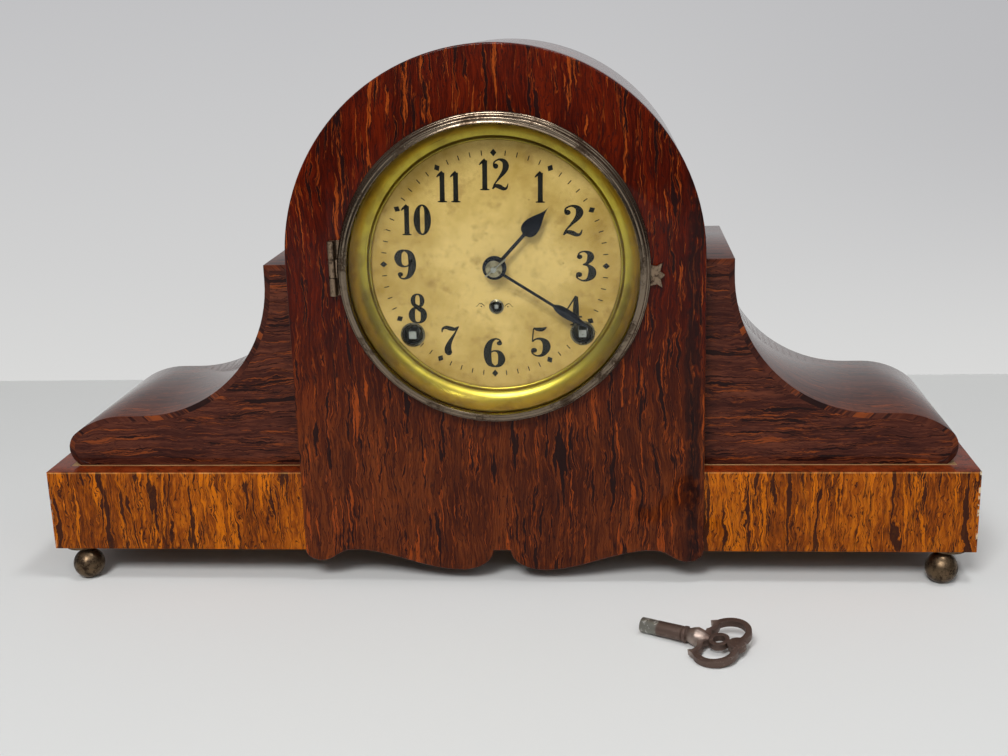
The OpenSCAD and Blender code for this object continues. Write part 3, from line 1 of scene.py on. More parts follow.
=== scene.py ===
import json
import logging
import math
from contextlib import contextmanager
from dataclasses import dataclass, field, replace
from enum import Enum
from typing import Any, Callable, ClassVar, Iterator, Optional, Sequence, Union

import bpy
from mathutils import Matrix, Vector

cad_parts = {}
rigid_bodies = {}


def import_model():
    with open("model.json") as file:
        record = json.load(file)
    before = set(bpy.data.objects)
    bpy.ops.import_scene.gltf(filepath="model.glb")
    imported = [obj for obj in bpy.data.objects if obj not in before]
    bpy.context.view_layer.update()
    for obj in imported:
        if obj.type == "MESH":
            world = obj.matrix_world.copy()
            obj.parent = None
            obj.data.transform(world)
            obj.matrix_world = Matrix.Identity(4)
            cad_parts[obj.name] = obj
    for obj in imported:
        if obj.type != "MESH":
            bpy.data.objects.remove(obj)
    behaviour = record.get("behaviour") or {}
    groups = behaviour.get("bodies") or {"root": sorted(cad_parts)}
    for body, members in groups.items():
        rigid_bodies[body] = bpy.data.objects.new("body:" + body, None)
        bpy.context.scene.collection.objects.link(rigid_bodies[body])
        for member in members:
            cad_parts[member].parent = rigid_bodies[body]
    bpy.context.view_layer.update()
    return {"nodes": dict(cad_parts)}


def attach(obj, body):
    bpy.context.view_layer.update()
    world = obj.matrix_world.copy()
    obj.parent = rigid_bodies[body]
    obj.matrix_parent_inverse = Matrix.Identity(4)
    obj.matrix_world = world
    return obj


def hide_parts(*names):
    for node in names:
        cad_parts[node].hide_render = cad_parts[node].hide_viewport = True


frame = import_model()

log = logging.getLogger("mantel_clock")

MM = 0.001
FACING_FRONT = -0.9
Colour = tuple[float, float, float, float]
Number = Union[int, float]


def paint(red: int, green: int, blue: int) -> Colour:
    """Turns a screen colour into a linear one.

    Args:
        red: Red, 0 to 255.
        green: Green, 0 to 255.
        blue: Blue, 0 to 255.

    Returns:
        The linear colour with an alpha of one.
    """

    def linear(value: int) -> float:
        """One channel made linear."""
        v = value / 255
        return v / 12.92 if v <= 0.04045 else ((v + 0.055) / 1.055) ** 2.4

    return (linear(red), linear(green), linear(blue), 1.0)


def spot(x: Number, y: Number, z: Number) -> Vector:
    """A point in millimetres as metres."""
    return Vector((x * MM, y * MM, z * MM))


# ---------------------------------------------------------------- shader sheet


class Value:
    """One output of a shader node, on which Python's operators make Math nodes."""

    def __init__(self, sheet: "Sheet", socket: bpy.types.NodeSocket) -> None:
        """Wraps a socket of a sheet."""
        self.sheet = sheet
        self.socket = socket

    def _math(self, operation: str, *values: Union["Value", Number]) -> "Value":
        """Adds a Math node and returns its result."""
        return self.sheet.add("ShaderNodeMath", {"operation": operation}, dict(enumerate(values)))

    def __add__(self, other: Union["Value", Number]) -> "Value":
        """Sum."""
        return self._math("ADD", self, other)

    def __radd__(self, other: Number) -> "Value":
        """Sum with a number on the left."""
        return self._math("ADD", other, self)

    def __sub__(self, other: Union["Value", Number]) -> "Value":
        """Difference."""
        return self._math("SUBTRACT", self, other)

    def __rsub__(self, other: Number) -> "Value":
        """Difference from a number."""
        return self._math("SUBTRACT", other, self)

    def __mul__(self, other: Union["Value", Number]) -> "Value":
        """Product."""
        return self._math("MULTIPLY", self, other)

    def __rmul__(self, other: Number) -> "Value":
        """Product with a number on the left."""
        return self._math("MULTIPLY", other, self)

    def __truediv__(self, other: Union["Value", Number]) -> "Value":
        """Quotient."""
        return self._math("DIVIDE", self, other)

    def __rtruediv__(self, other: Number) -> "Value":
        """Quotient of a number."""
        return self._math("DIVIDE", other, self)

    def __pow__(self, other: Union["Value", Number]) -> "Value":
        """Power."""
        return self._math("POWER", self, other)

    def __abs__(self) -> "Value":
        """Size without its sign."""
        return self._math("ABSOLUTE", self)

    def sine(self) -> "Value":
        """Sine of an angle in radians."""
        return self._math("SINE", self)

    def root(self) -> "Value":
        """Square root."""
        return self._math("SQRT", self)

    def at_least(self, other: Union["Value", Number]) -> "Value":
        """The larger of the two."""
        return self._math("MAXIMUM", self, other)

    def at_most(self, other: Union["Value", Number]) -> "Value":
        """The smaller of the two."""
        return self._math("MINIMUM", self, other)

    def angle(self, other: Union["Value", Number]) -> "Value":
        """Angle whose tangent is this over the other."""
        return self._math("ARCTAN2", self, other)

    def sign(self) -> "Value":
        """Plus or minus one."""
        return self._math("SIGN", self)

    def rise(self, low: float, high: float) -> "Value":
        """Smooth step from 0 at low to 1 at high."""
        settings = {"interpolation_type": "SMOOTHSTEP"}
        if low < high:
            return self.sheet.add("ShaderNodeMapRange", settings, {0: self, 1: low, 2: high, 3: 0.0, 4: 1.0})
        return self.sheet.add("ShaderNodeMapRange", settings, {0: self, 1: high, 2: low, 3: 1.0, 4: 0.0})


class Sheet:
    """The node tree of one material or world."""

    def __init__(self, owner: Union[bpy.types.Material, bpy.types.World]) -> None:
        """Starts an empty tree.

        Args:
            owner: The material or the world that the tree belongs to.
        """
        owner.use_nodes = True
        self.tree = owner.node_tree
        self.tree.nodes.clear()

    def add(self, kind: str, settings: Optional[dict[str, Any]] = None,
            inputs: Optional[dict[Union[int, str], Any]] = None, output: Union[int, str] = 0) -> Value:
        """Adds a node, sets it and links it.

        Args:
            kind: The node's type.
            settings: Its settings, which are set before its sockets. "stops" fills a colour ramp.
            inputs: Its sockets' values or links.
            output: The output that is handed back.

        Returns:
            The chosen output.
        """
        node = self.tree.nodes.new(kind)
        for key, value in (settings or {}).items():
            if key == "stops":
                ramp = node.color_ramp
                while len(ramp.elements) < len(value):
                    ramp.elements.new(0.5)
                for element, (place, colour) in zip(ramp.elements, value):
                    element.position = place
                    element.color = colour
            else:
                setattr(node, key, value)
        for key, value in (inputs or {}).items():
            if isinstance(value, Value):
                self.tree.links.new(value.socket, node.inputs[key])
            else:
                node.inputs[key].default_value = value
        return Value(self, node.outputs[output]) if len(node.outputs) else Value(self, None)

    def place(self) -> Value:
        """The point on the object, in millimetres."""
        metres = self.add("ShaderNodeTexCoord", output="Object")
        return self.add("ShaderNodeVectorMath", {"operation": "SCALE"}, {0: metres, "Scale": 1000.0})

    def split(self, vector: Value) -> tuple[Value, Value, Value]:
        """The three parts of a vector."""
        first = self.add("ShaderNodeSeparateXYZ", None, {0: vector})
        outs = first.socket.node.outputs
        return first, Value(self, outs[1]), Value(self, outs[2])

    def join(self, x: Any, y: Any, z: Any) -> Value:
        """A vector from its three parts."""
        return self.add("ShaderNodeCombineXYZ", None, {0: x, 1: y, 2: z})

    def noise(self, where: Value, detail: float = 3.0, rough: float = 0.55, scale: float = 1.0) -> Value:
        """Cloudy noise between 0 and 1."""
        return self.add("ShaderNodeTexNoise", {"noise_dimensions": "3D"},
                        {"Vector": where, "Scale": scale, "Detail": detail, "Roughness": rough})

    def cells(self, where: Value, scale: float = 1.0) -> Value:
        """Distance to the nearest of scattered points."""
        return self.add("ShaderNodeTexVoronoi", {"feature": "F1"}, {"Vector": where, "Scale": scale})

    def ramp(self, where: Value, stops: Sequence[tuple[float, Colour]]) -> Value:
        """A colour along stops."""
        return self.add("ShaderNodeValToRGB", {"stops": list(stops)}, {0: where})

    def mix(self, share: Union[Value, float], first: Any, second: Any, blend: str = "MIX") -> Value:
        """Two colours mixed."""
        return self.add("ShaderNodeMix", {"data_type": "RGBA", "blend_type": blend},
                        {0: share, 6: first, 7: second}, output=2)

    def bump(self, height: Value, strength: float, depth: float) -> Value:
        """A normal from a height.

        Args:
            height: The height, 0 to 1.
            strength: How much of it shows.
            depth: The depth of a full step, in millimetres.

        Returns:
            The bumped normal.
        """
        return self.add("ShaderNodeBump", None,
                        {"Strength": strength, "Distance": depth * MM, "Height": height})

    def finish(self, inputs: dict[str, Any]) -> None:
        """Ends the tree in one Principled surface."""
        shader = self.add("ShaderNodeBsdfPrincipled", None, inputs)
        self.add("ShaderNodeOutputMaterial", None, {0: shader})


# ---------------------------------------------------------------- finishes


class Grain(Enum):
    """The way in which a veneer's streaks run."""

    UPRIGHT = "up the piece"
    LEVEL = "along the clock"
    SLOPE = "down the wing's slope"
    HOOD = "round the hood"


@dataclass(frozen=True)
class Finish:
    """A finish that makes one material."""

    name: str
    made: ClassVar[dict[str, bpy.types.Material]] = {}

    def surface(self, sheet: Sheet) -> None:
        """Fills the material's tree."""
        raise NotImplementedError

    def make(self) -> bpy.types.Material:
        """The material, made the first time that it is asked for.

        Returns:
            The material.
        """
        if self.name not in Finish.made:
            material = bpy.data.materials.new(f"look_{self.name}")
            self.surface(Sheet(material))
            Finish.made[self.name] = material
            log.info("finish %s", self.name)
        return Finish.made[self.name]


@dataclass(frozen=True)
class Veneer(Finish):
    """Streaked imitation rosewood under gloss lacquer.

    Fine fibres carry crisp dark spindles and orange blazes, which follow one slow wave and have thin outlines.
    A width and a length go with each kind of streak, in millimetres.
    """

    grain: Grain = Grain.UPRIGHT
    black: Colour = paint(26, 9, 8)
    dark: Colour = paint(54, 17, 5)
    middle: Colour = paint(78, 31, 9)
    light: Colour = paint(106, 48, 16)
    glow: Colour = paint(144, 62, 16)
    spindle: tuple[float, float] = (3.4, 46.0)
    spindle_from: float = 0.6
    blaze: tuple[float, float] = (3.2, 60.0)
    blaze_from: float = 0.59
    fibre: tuple[float, float] = (0.8, 15.0)
    band: tuple[float, float] = (9.0, 70.0)
    wave: float = 9.0
    wave_length: float = 42.0
    crossing: float = 24.0
    wiggle: float = 3.0
    line_share: float = 0.75
    centre: float = 0.5
    hood_r: float = 106.8
    hood_z: float = 176.0
    dark_band: Optional[tuple[float, float]] = None
    ruddy: Colour = paint(222, 140, 60)
    ruddy_from: float = 0.0
    ruddy_rise: float = 90.0
    rail_top: float = 0.0
    rail_front: float = -59.7
    rail_foot: float = 17.0
    rail_end: float = 0.0
    # Colours of a rail's painted edge highlight, of the painted shade on its top and of its chips.
    worn_edge: Colour = paint(236, 176, 104)
    top_shade: Colour = paint(166, 106, 90)
    chipped: Colour = paint(214, 196, 164)

    def along(self, sheet: Sheet) -> tuple[Value, Value, Value]:
        """Places across the grain, deep and along it, in millimetres."""
        x, y, z = sheet.split(sheet.place())
        if self.grain is Grain.UPRIGHT:
            return x, y, z
        if self.grain is Grain.LEVEL:
            return z, y, x
        if self.grain is Grain.SLOPE:
            return y, z * 0.0, abs(x) - z
        up = z - self.hood_z
        turn = x.angle(up.at_least(0.0))
        return y, z * 0.0, turn * self.hood_r - x.sign() * up.at_most(0.0)

    def streaks(self, sheet: Sheet, wavy: Value, deep: Value, along: Value, size: tuple[float, float],
                start: float) -> Value:
        """Long noise across the wavy grain.

        Args:
            sheet: The material's sheet.
            wavy: The place across the grain, with its wave.
            deep: The place into the piece.
            along: The place along the grain.
            size: Width and length of a streak, in millimetres.
            start: An offset that keeps one kind of streak off another.

        Returns:
            The noise, about 0.5 in the middle.
        """
        width, length = size
        return sheet.noise(sheet.join(wavy / width + start, deep / width, along / length + start), 3, 0.62)

    def worn_rail(self, sheet: Sheet, colour: Value, hazy: Value, x: Value, y: Value, z: Value) -> Value:
        """Marks a plinth rail: a painted highlight along its upper edge, painted shade on its top, and chips
        at its foot and its corners.

        Args:
            sheet: The material's sheet.
            colour: The veneer's colour so far.
            hazy: Soft noise that breaks the painted edge highlight up.
            x: The place along the clock, in millimetres.
            y: The depth, in millimetres.
            z: The height, in millimetres.

        Returns:
            The colour with its wear.
        """
        top = self.rail_top
        # Painted highlight: a pale strip along the rail's upper edge.
        worn = z.rise(top - 1.1, top - 0.7) * (0.5 + (hazy - 0.5) * 2)
        colour = sheet.mix(worn * 0.5, colour, self.worn_edge)
        # Painted shade: the rail's top is darkened.
        shaded = sheet.mix(1.0, colour, self.top_shade, "MULTIPLY")
        colour = sheet.mix(z.rise(top - 0.3, top - 0.1), colour, shaded)
        nick = sheet.noise(sheet.place(), 3, 0.6, 0.2)
        front = y.rise(self.rail_front + 1.4, self.rail_front + 0.6)
        edge = abs(x).rise(self.rail_end - 1.3, self.rail_end - 0.5) * (0.55 + x.sign() * 0.3)
        corner = front * edge * nick.rise(0.52, 0.56)
        foot = z.rise(self.rail_foot, self.rail_foot - 1.1) * nick.rise(0.42, 0.5) * 0.6
        return sheet.mix(corner.at_least(foot), colour, self.chipped)

    def surface(self, sheet: Sheet) -> None:
        """Fills the material's tree."""
        across, deep, along = self.along(sheet)
        apart = self.crossing
        slow = sheet.noise(sheet.join(across / apart, deep / apart, along / self.wave_length), 2)
        quick = sheet.noise(sheet.join(across / 4.5, deep / 4.5, along / 7 + 7), 3)
        wavy = across + (slow - 0.5) * self.wave + (quick - 0.5) * self.wiggle
        fibre = self.streaks(sheet, wavy, deep, along, self.fibre, 0.0)
        band = self.streaks(sheet, wavy, deep, along, self.band, 3.0)
        spindle = self.streaks(sheet, wavy, deep, along, self.spindle, 11.0)
        blaze = self.streaks(sheet, wavy, deep, along, self.blaze, 23.0)
        patch = sheet.noise(sheet.join(across / 34, deep / 34, along / 80 + 3), 1)
        tone = (band - 0.5) * 0.9 + (fibre - 0.5) * 1.5 + (patch - 0.5) * 0.7 + self.centre
        colour = sheet.ramp(tone, [(0.2, self.dark), (0.5, self.middle), (0.78, self.light)])
        x, y, z = sheet.split(sheet.place())
        if self.ruddy_from:
            share = (z + (patch - 0.5) * 60).rise(self.ruddy_from, self.ruddy_from + self.ruddy_rise)
            colour = sheet.mix(share, colour, sheet.mix(1.0, colour, self.ruddy, "MULTIPLY"))
        # blazes with a thin black outline
        hot = blaze + (patch - 0.5) * 0.12
        first = self.blaze_from
        colour = sheet.mix(hot.rise(first, first + 0.03) * fibre.rise(0.3, 0.5) * 0.9, colour, self.glow)
        rim = hot.rise(first - 0.03, first - 0.01) * hot.rise(first + 0.015, first - 0.005)
        colour = sheet.mix(rim * self.line_share, colour, self.black)
        # spindles with a pale rim
        cold = spindle - (patch - 0.5) * 0.1
        first = self.spindle_from
        pale = cold.rise(first - 0.035, first - 0.02) * cold.rise(first, first - 0.015)
        colour = sheet.mix(pale * 0.5, colour, self.glow)
        colour = sheet.mix(cold.rise(first - 0.005, first + 0.012) * 0.92, colour, self.black)
        # thin wavy lines between the streaks
        contour = abs(((band * 13.0 + blaze * 6.0) * math.pi).sine())
        thin = contour.rise(0.34, 0.08) * quick.rise(0.36, 0.5)
        colour = sheet.mix(thin * self.line_share, colour, self.black)
        if self.dark_band:
            low, high = self.dark_band
            ragged = across + (slow - 0.5) * 9 + (fibre - 0.5) * 4
            strip = ragged.rise(low - 1.5, low + 1.5) * ragged.rise(high + 1.5, high - 1.5)
            colour = sheet.mix(strip * quick.rise(0.3, 0.5) * 0.8, colour, self.black)
        hazy = sheet.noise(sheet.join(across / 6, deep / 6, along / 6), 3)
        if self.rail_top:
            # Painted highlight on the rail's upper edge and painted shade on its top, with chips.
            colour = self.worn_rail(sheet, colour, hazy, x, y, z)
        sheet.finish({
            "Base Color": colour, "Roughness": 0.45 + (fibre - 0.5) * 0.2, "Specular IOR Level": 0.04,
            "Coat Weight": 0.75, "Coat Roughness": 0.05, "Coat IOR": 1.2,
            "Normal": sheet.bump(fibre * 0.4 + hazy, 0.12, 0.25)})


@dataclass(frozen=True)
class BareWood(Finish):
    """Plain timber that has darkened with age."""

    light: Colour = paint(176, 138, 92)
    dark: Colour = paint(132, 96, 58)
    upright: bool = True

    def surface(self, sheet: Sheet) -> None:
        """Fills the material's tree."""
        x, y, z = sheet.split(sheet.place())
        across, along = (x, z) if self.upright else (z, x)
        wavy = across + (sheet.noise(sheet.join(x / 40, y / 40, z / 40), 2) - 0.5) * 22
        ring = abs((sheet.noise(sheet.join(wavy / 16, y / 16, along / 190), 2) * 22).sine())
        pore = sheet.noise(sheet.join(wavy / 0.7, y / 0.7, along / 12), 2).rise(0.6, 0.72)
        stain = sheet.noise(sheet.join(x / 55, y / 55, z / 55), 3)
        colour = sheet.mix(ring * 0.55 + stain * 0.35, self.light, self.dark)
        colour = sheet.mix(pore * 0.5, colour, paint(84, 56, 34))
        sheet.finish({"Base Color": colour, "Roughness": 0.62 + pore * 0.2, "Specular IOR Level": 0.3,
                      "Normal": sheet.bump(1 - pore, 0.4, 0.2)})


class Lay(Enum):
    """The direction of the fine scratches in a metal's surface."""

    NONE = "polished"
    TURNED = "round the dial's axis"
    LENGTH = "along the height"


@dataclass(frozen=True)
class Metal(Finish):
    """Metal with tarnish in patches and fine scratches."""

    bright: Colour = paint(200, 176, 110)
    tarnish: Colour = paint(110, 86, 50)
    patches: float = 0.5
    patch_mm: float = 14.0
    roughness: float = 0.3
    lay: Lay = Lay.NONE
    axis_z: float = 171.0
    metallic: float = 1.0
    pits: float = 0.0

    def tint(self, sheet: Sheet, colour: Value) -> Value:
        """The colour as it is, on metal with nothing more on it."""
        return colour

    def surface(self, sheet: Sheet) -> None:
        """Fills the material's tree."""
        where = sheet.place()
        x, y, z = sheet.split(where)
        cloud = sheet.noise(where, 5, 0.65, 1 / self.patch_mm)
        speck = sheet.noise(where, 3, 0.6, 1.1)
        share = (cloud + (speck - 0.5) * 0.35).rise(0.72 - self.patches * 0.45, 0.86 - self.patches * 0.3)
        if self.lay is Lay.TURNED:
            up = z - self.axis_z
            radius = (x * x + up * up).root()
            scratch = sheet.noise(sheet.join(radius * 3.2, y * 3.2, x.angle(up) * 1.2), 3)
        elif self.lay is Lay.LENGTH:
            scratch = sheet.noise(sheet.join(x * 3, y * 3, z / 9), 3)
        else:
            scratch = sheet.noise(where, 4, 0.6, 0.6)
        colour = self.tint(sheet, sheet.mix(share, self.bright, self.tarnish))
        height = scratch * 0.6 + speck * (0.3 + self.pits)
        sheet.finish({
            "Base Color": colour, "Metallic": self.metallic,
            "Roughness": self.roughness + share * 0.2 + (scratch - 0.5) * 0.14,
            "Normal": sheet.bump(height, 0.1 + self.pits * 0.5, 0.08 + self.pits * 0.25)})


@dataclass(frozen=True)
class Bushed(Metal):
    """Metal with near-black painted shade round each hole that an arbor comes out of."""

    holes: tuple[tuple[float, float], ...] = ((44.5, -35.8), (0.0, -21.3))
    reach: tuple[float, float] = (5.6, 3.0)

    def tint(self, sheet: Sheet, colour: Value) -> Value:
        """Paints near-black shade inside each hole's reach."""
        x, _, z = sheet.split(sheet.place())
        side, up = abs(x), z - self.axis_z
        for (hole_x, hole_z), reach in zip(self.holes, self.reach):
            away = ((side - hole_x) ** 2 + (up - hole_z) ** 2).root()
            # Painted shade: near black inside each hole's reach, where the hole is a dark recess.
            colour = sheet.mix(away.rise(reach + 0.25, reach - 0.25) * 0.94, colour, paint(16, 14, 13))
        return colour


@dataclass(frozen=True)
class Reflector(Finish):
    """Lacquered brass bowl, yellow-green, darkened toward its front edge, with painted shade toward its top
    and its sides.
    """

    bright: Colour = paint(208, 184, 72)
    shade: Colour = paint(150, 122, 56)
    # Colour of the smears and the foot, also used for painted shade toward the top and the sides.
    stain: Colour = paint(96, 78, 40)
    axis_z: float = 171.0
    inner_r: float = 65.4
    outer_r: float = 74.8

    def surface(self, sheet: Sheet) -> None:
        """Fills the material's tree."""
        where = sheet.place()
        x, y, z = sheet.split(where)
        up = z - self.axis_z
        radius = (x * x + up * up).root()
        cloud = sheet.noise(where, 4, 0.6, 0.09)
        smear = sheet.noise(sheet.join(radius / 1.3, y / 1.3, x.angle(up) * 2.2), 3)
        rim = radius.rise(self.outer_r - 3.5, self.outer_r)
        foot = radius.rise(self.inner_r + 2.2, self.inner_r - 0.2)
        colour = sheet.mix(cloud.rise(0.4, 0.72) * 0.6 + rim * 0.3, self.bright, self.shade)
        # Painted shade: darker toward the bowl's top and its sides, for the dark surroundings that those parts
        # mirror.
        painted_shade_top_sides = up.rise(15, 75) * 0.4 + abs(x).rise(45, 75) * 0.12
        colour = sheet.mix(smear.rise(0.6, 0.78) * 0.5 + foot * 0.3 + painted_shade_top_sides, colour, self.stain)
        sheet.finish({"Base Color": colour, "Metallic": 1.0, "Roughness": 0.25 + cloud * 0.14 + rim * 0.08,
                      "Normal": sheet.bump(smear, 0.1, 0.1)})


@dataclass(frozen=True)
class DialPaint(Finish):
    """Cream dial, gone golden and blotched with age, and darker toward its rim."""

    middle: Colour = paint(225, 189, 118)
    edge: Colour = paint(178, 142, 68)
    blotch: Colour = paint(146, 108, 50)
    speck: Colour = paint(96, 62, 30)
    axis_z: float = 171.0
    radius: float = 65.0

    def surface(self, sheet: Sheet) -> None:
        """Fills the material's tree."""
        where = sheet.place()
        x, _, z = sheet.split(where)
        up = z - self.axis_z
        radius = (x * x + up * up).root() / self.radius
        cloud = sheet.noise(where, 4, 0.6, 0.045)
        mottle = sheet.noise(where, 5, 0.7, 0.22)
        share = radius.rise(0.1, 1.0) * 0.7 + (cloud - 0.5) * 2.2
        colour = sheet.mix(share.at_least(0.0).at_most(1.0), self.middle, self.edge)
        smudge = sheet.noise(where, 3, 0.6, 0.085).rise(0.54, 0.7)
        colour = sheet.mix(mottle.rise(0.5, 0.72) * 0.28 + smudge * 0.42, colour, self.blotch)
        foxing = sheet.cells(where, 0.16).rise(0.09, 0.03) * mottle.rise(0.5, 0.6)
        colour = sheet.mix(foxing * 0.5, colour, self.speck)
        sheet.finish({"Base Color": colour, "Roughness": 0.5 + mottle * 0.15, "Specular IOR Level": 0.25,
                      "Normal": sheet.bump(mottle, 0.08, 0.06)})


@dataclass(frozen=True)
class Ink(Finish):
    """Black printing ink, a little worn."""

    colour: Colour = paint(20, 18, 15)
    worn: Colour = paint(62, 54, 36)

    def surface(self, sheet: Sheet) -> None:
        """Fills the material's tree."""
        wear = sheet.noise(sheet.place(), 4, 0.7, 0.8).rise(0.6, 0.8)
        sheet.finish({"Base Color": sheet.mix(wear * 0.5, self.colour, self.worn),
                      "Roughness": 0.55 + wear * 0.2, "Specular IOR Level": 0.2})


@dataclass(frozen=True)
class ClearGlass(Finish):
    """Clear glass, seen only by what it reflects."""

    tint: Colour = (0.97, 0.99, 0.97, 1.0)

    def surface(self, sheet: Sheet) -> None:
        """Fills the material's tree."""
        clear = sheet.add("ShaderNodeBsdfTransparent", None, {0: self.tint})
        smear = sheet.noise(sheet.place(), 3, 0.6, 0.05)
        shine = sheet.add("ShaderNodeBsdfPrincipled", None, {
            "Base Color": (1.0, 1.0, 1.0, 1.0), "Metallic": 1.0, "Roughness": 0.03 + smear * 0.04})
        facing = sheet.add("ShaderNodeLayerWeight", None, {"Blend": 0.5}, output="Facing")
        both = sheet.add("ShaderNodeMixShader", None, {0: 0.012 + facing ** 5 * 0.5, 1: clear, 2: shine})
        sheet.add("ShaderNodeOutputMaterial", None, {0: both})


@dataclass(frozen=True)
class KeyIron(Finish):
    """Brown cast iron, worn bright on its high places, with a greyer tip."""

    brown: Colour = paint(104, 86, 78)
    bright: Colour = paint(176, 160, 150)
    tip: Colour = paint(132, 132, 124)
    bare: Colour = paint(212, 210, 204)
    start: tuple[float, float] = (74.0, -119.0)
    turn: float = math.radians(-30)
    tip_length: float = 9.0

    def surface(self, sheet: Sheet) -> None:
        """Fills the material's tree."""
        where = sheet.place()
        x, y, _ = sheet.split(where)
        reach = (x - self.start[0]) * math.cos(self.turn) + (y - self.start[1]) * math.sin(self.turn)
        rust = sheet.noise(where, 5, 0.7, 0.35)
        grit = sheet.noise(where, 3, 0.7, 2.2)
        worn = reach.rise(24, 28) * reach.rise(36, 32) * 0.6 + rust.rise(0.56, 0.74) * 0.45
        colour = sheet.mix(worn, self.brown, self.bright)
        ended = reach.rise(self.tip_length + 0.8, self.tip_length - 0.8)
        colour = sheet.mix(ended * 0.85, colour, self.tip)
        colour = sheet.mix(ended * rust.rise(0.54, 0.62) * 0.8, colour, self.bare)
        sheet.finish({
            "Base Color": colour, "Metallic": 0.85, "Roughness": 0.5 - worn * 0.18 + (grit - 0.5) * 0.2,
            "Normal": sheet.bump(grit + rust, 0.35, 0.25)})


@dataclass(frozen=True)
class StageFloor(Finish):
    """Pale matt table."""

    colour: Colour = paint(222, 223, 222)

    def surface(self, sheet: Sheet) -> None:
        """Fills the material's tree."""
        cloud = sheet.noise(sheet.place(), 2, 0.5, 0.004)
        colour = sheet.mix(cloud * 0.12, self.colour, paint(196, 197, 196))
        sheet.finish({"Base Color": colour, "Roughness": 0.6, "Specular IOR Level": 0.12})


@dataclass(frozen=True)
class StageWall(Finish):
    """Pale glowing backdrop, with painted shade upwards and toward its upper right, and see-through from
    behind.
    """

    low: Colour = paint(217, 217, 216)
    middle: Colour = paint(209, 209, 209)
    high: Colour = paint(193, 193, 195)
    corner: Colour = paint(176, 176, 179)

    def surface(self, sheet: Sheet) -> None:
        """Fills the material's tree."""
        x, _, z = sheet.split(sheet.place())
        # Painted shade: the backdrop darkens upwards and toward its upper right.
        colour = sheet.ramp(z / 330, [(0.0, self.low), (0.3, self.middle), (1.0, self.high)])
        colour = sheet.mix(x.rise(0, 420) * z.rise(0, 250) * 0.5, colour, self.corner)
        camera = sheet.add("ShaderNodeLightPath", output="Is Camera Ray")
        glossy = sheet.add("ShaderNodeLightPath", output="Is Glossy Ray")
        through = sheet.add("ShaderNodeLightPath", output="Is Transmission Ray")
        seen = camera.at_least(glossy).at_least(through)
        # The backdrop glows by itself: fully where it is seen or mirrored, and at 0.4 for the light that it
        # casts.
        glow = sheet.add("ShaderNodeEmission", None, {0: colour, 1: 0.4 + seen * 0.6})
        clear = sheet.add("ShaderNodeBsdfTransparent")
        back = sheet.add("ShaderNodeNewGeometry", output="Backfacing")
        both = sheet.add("ShaderNodeMixShader", None, {0: back, 1: glow, 2: clear})
        sheet.add("ShaderNodeOutputMaterial", None, {0: both})


# ---------------------------------------------------------------- workbench


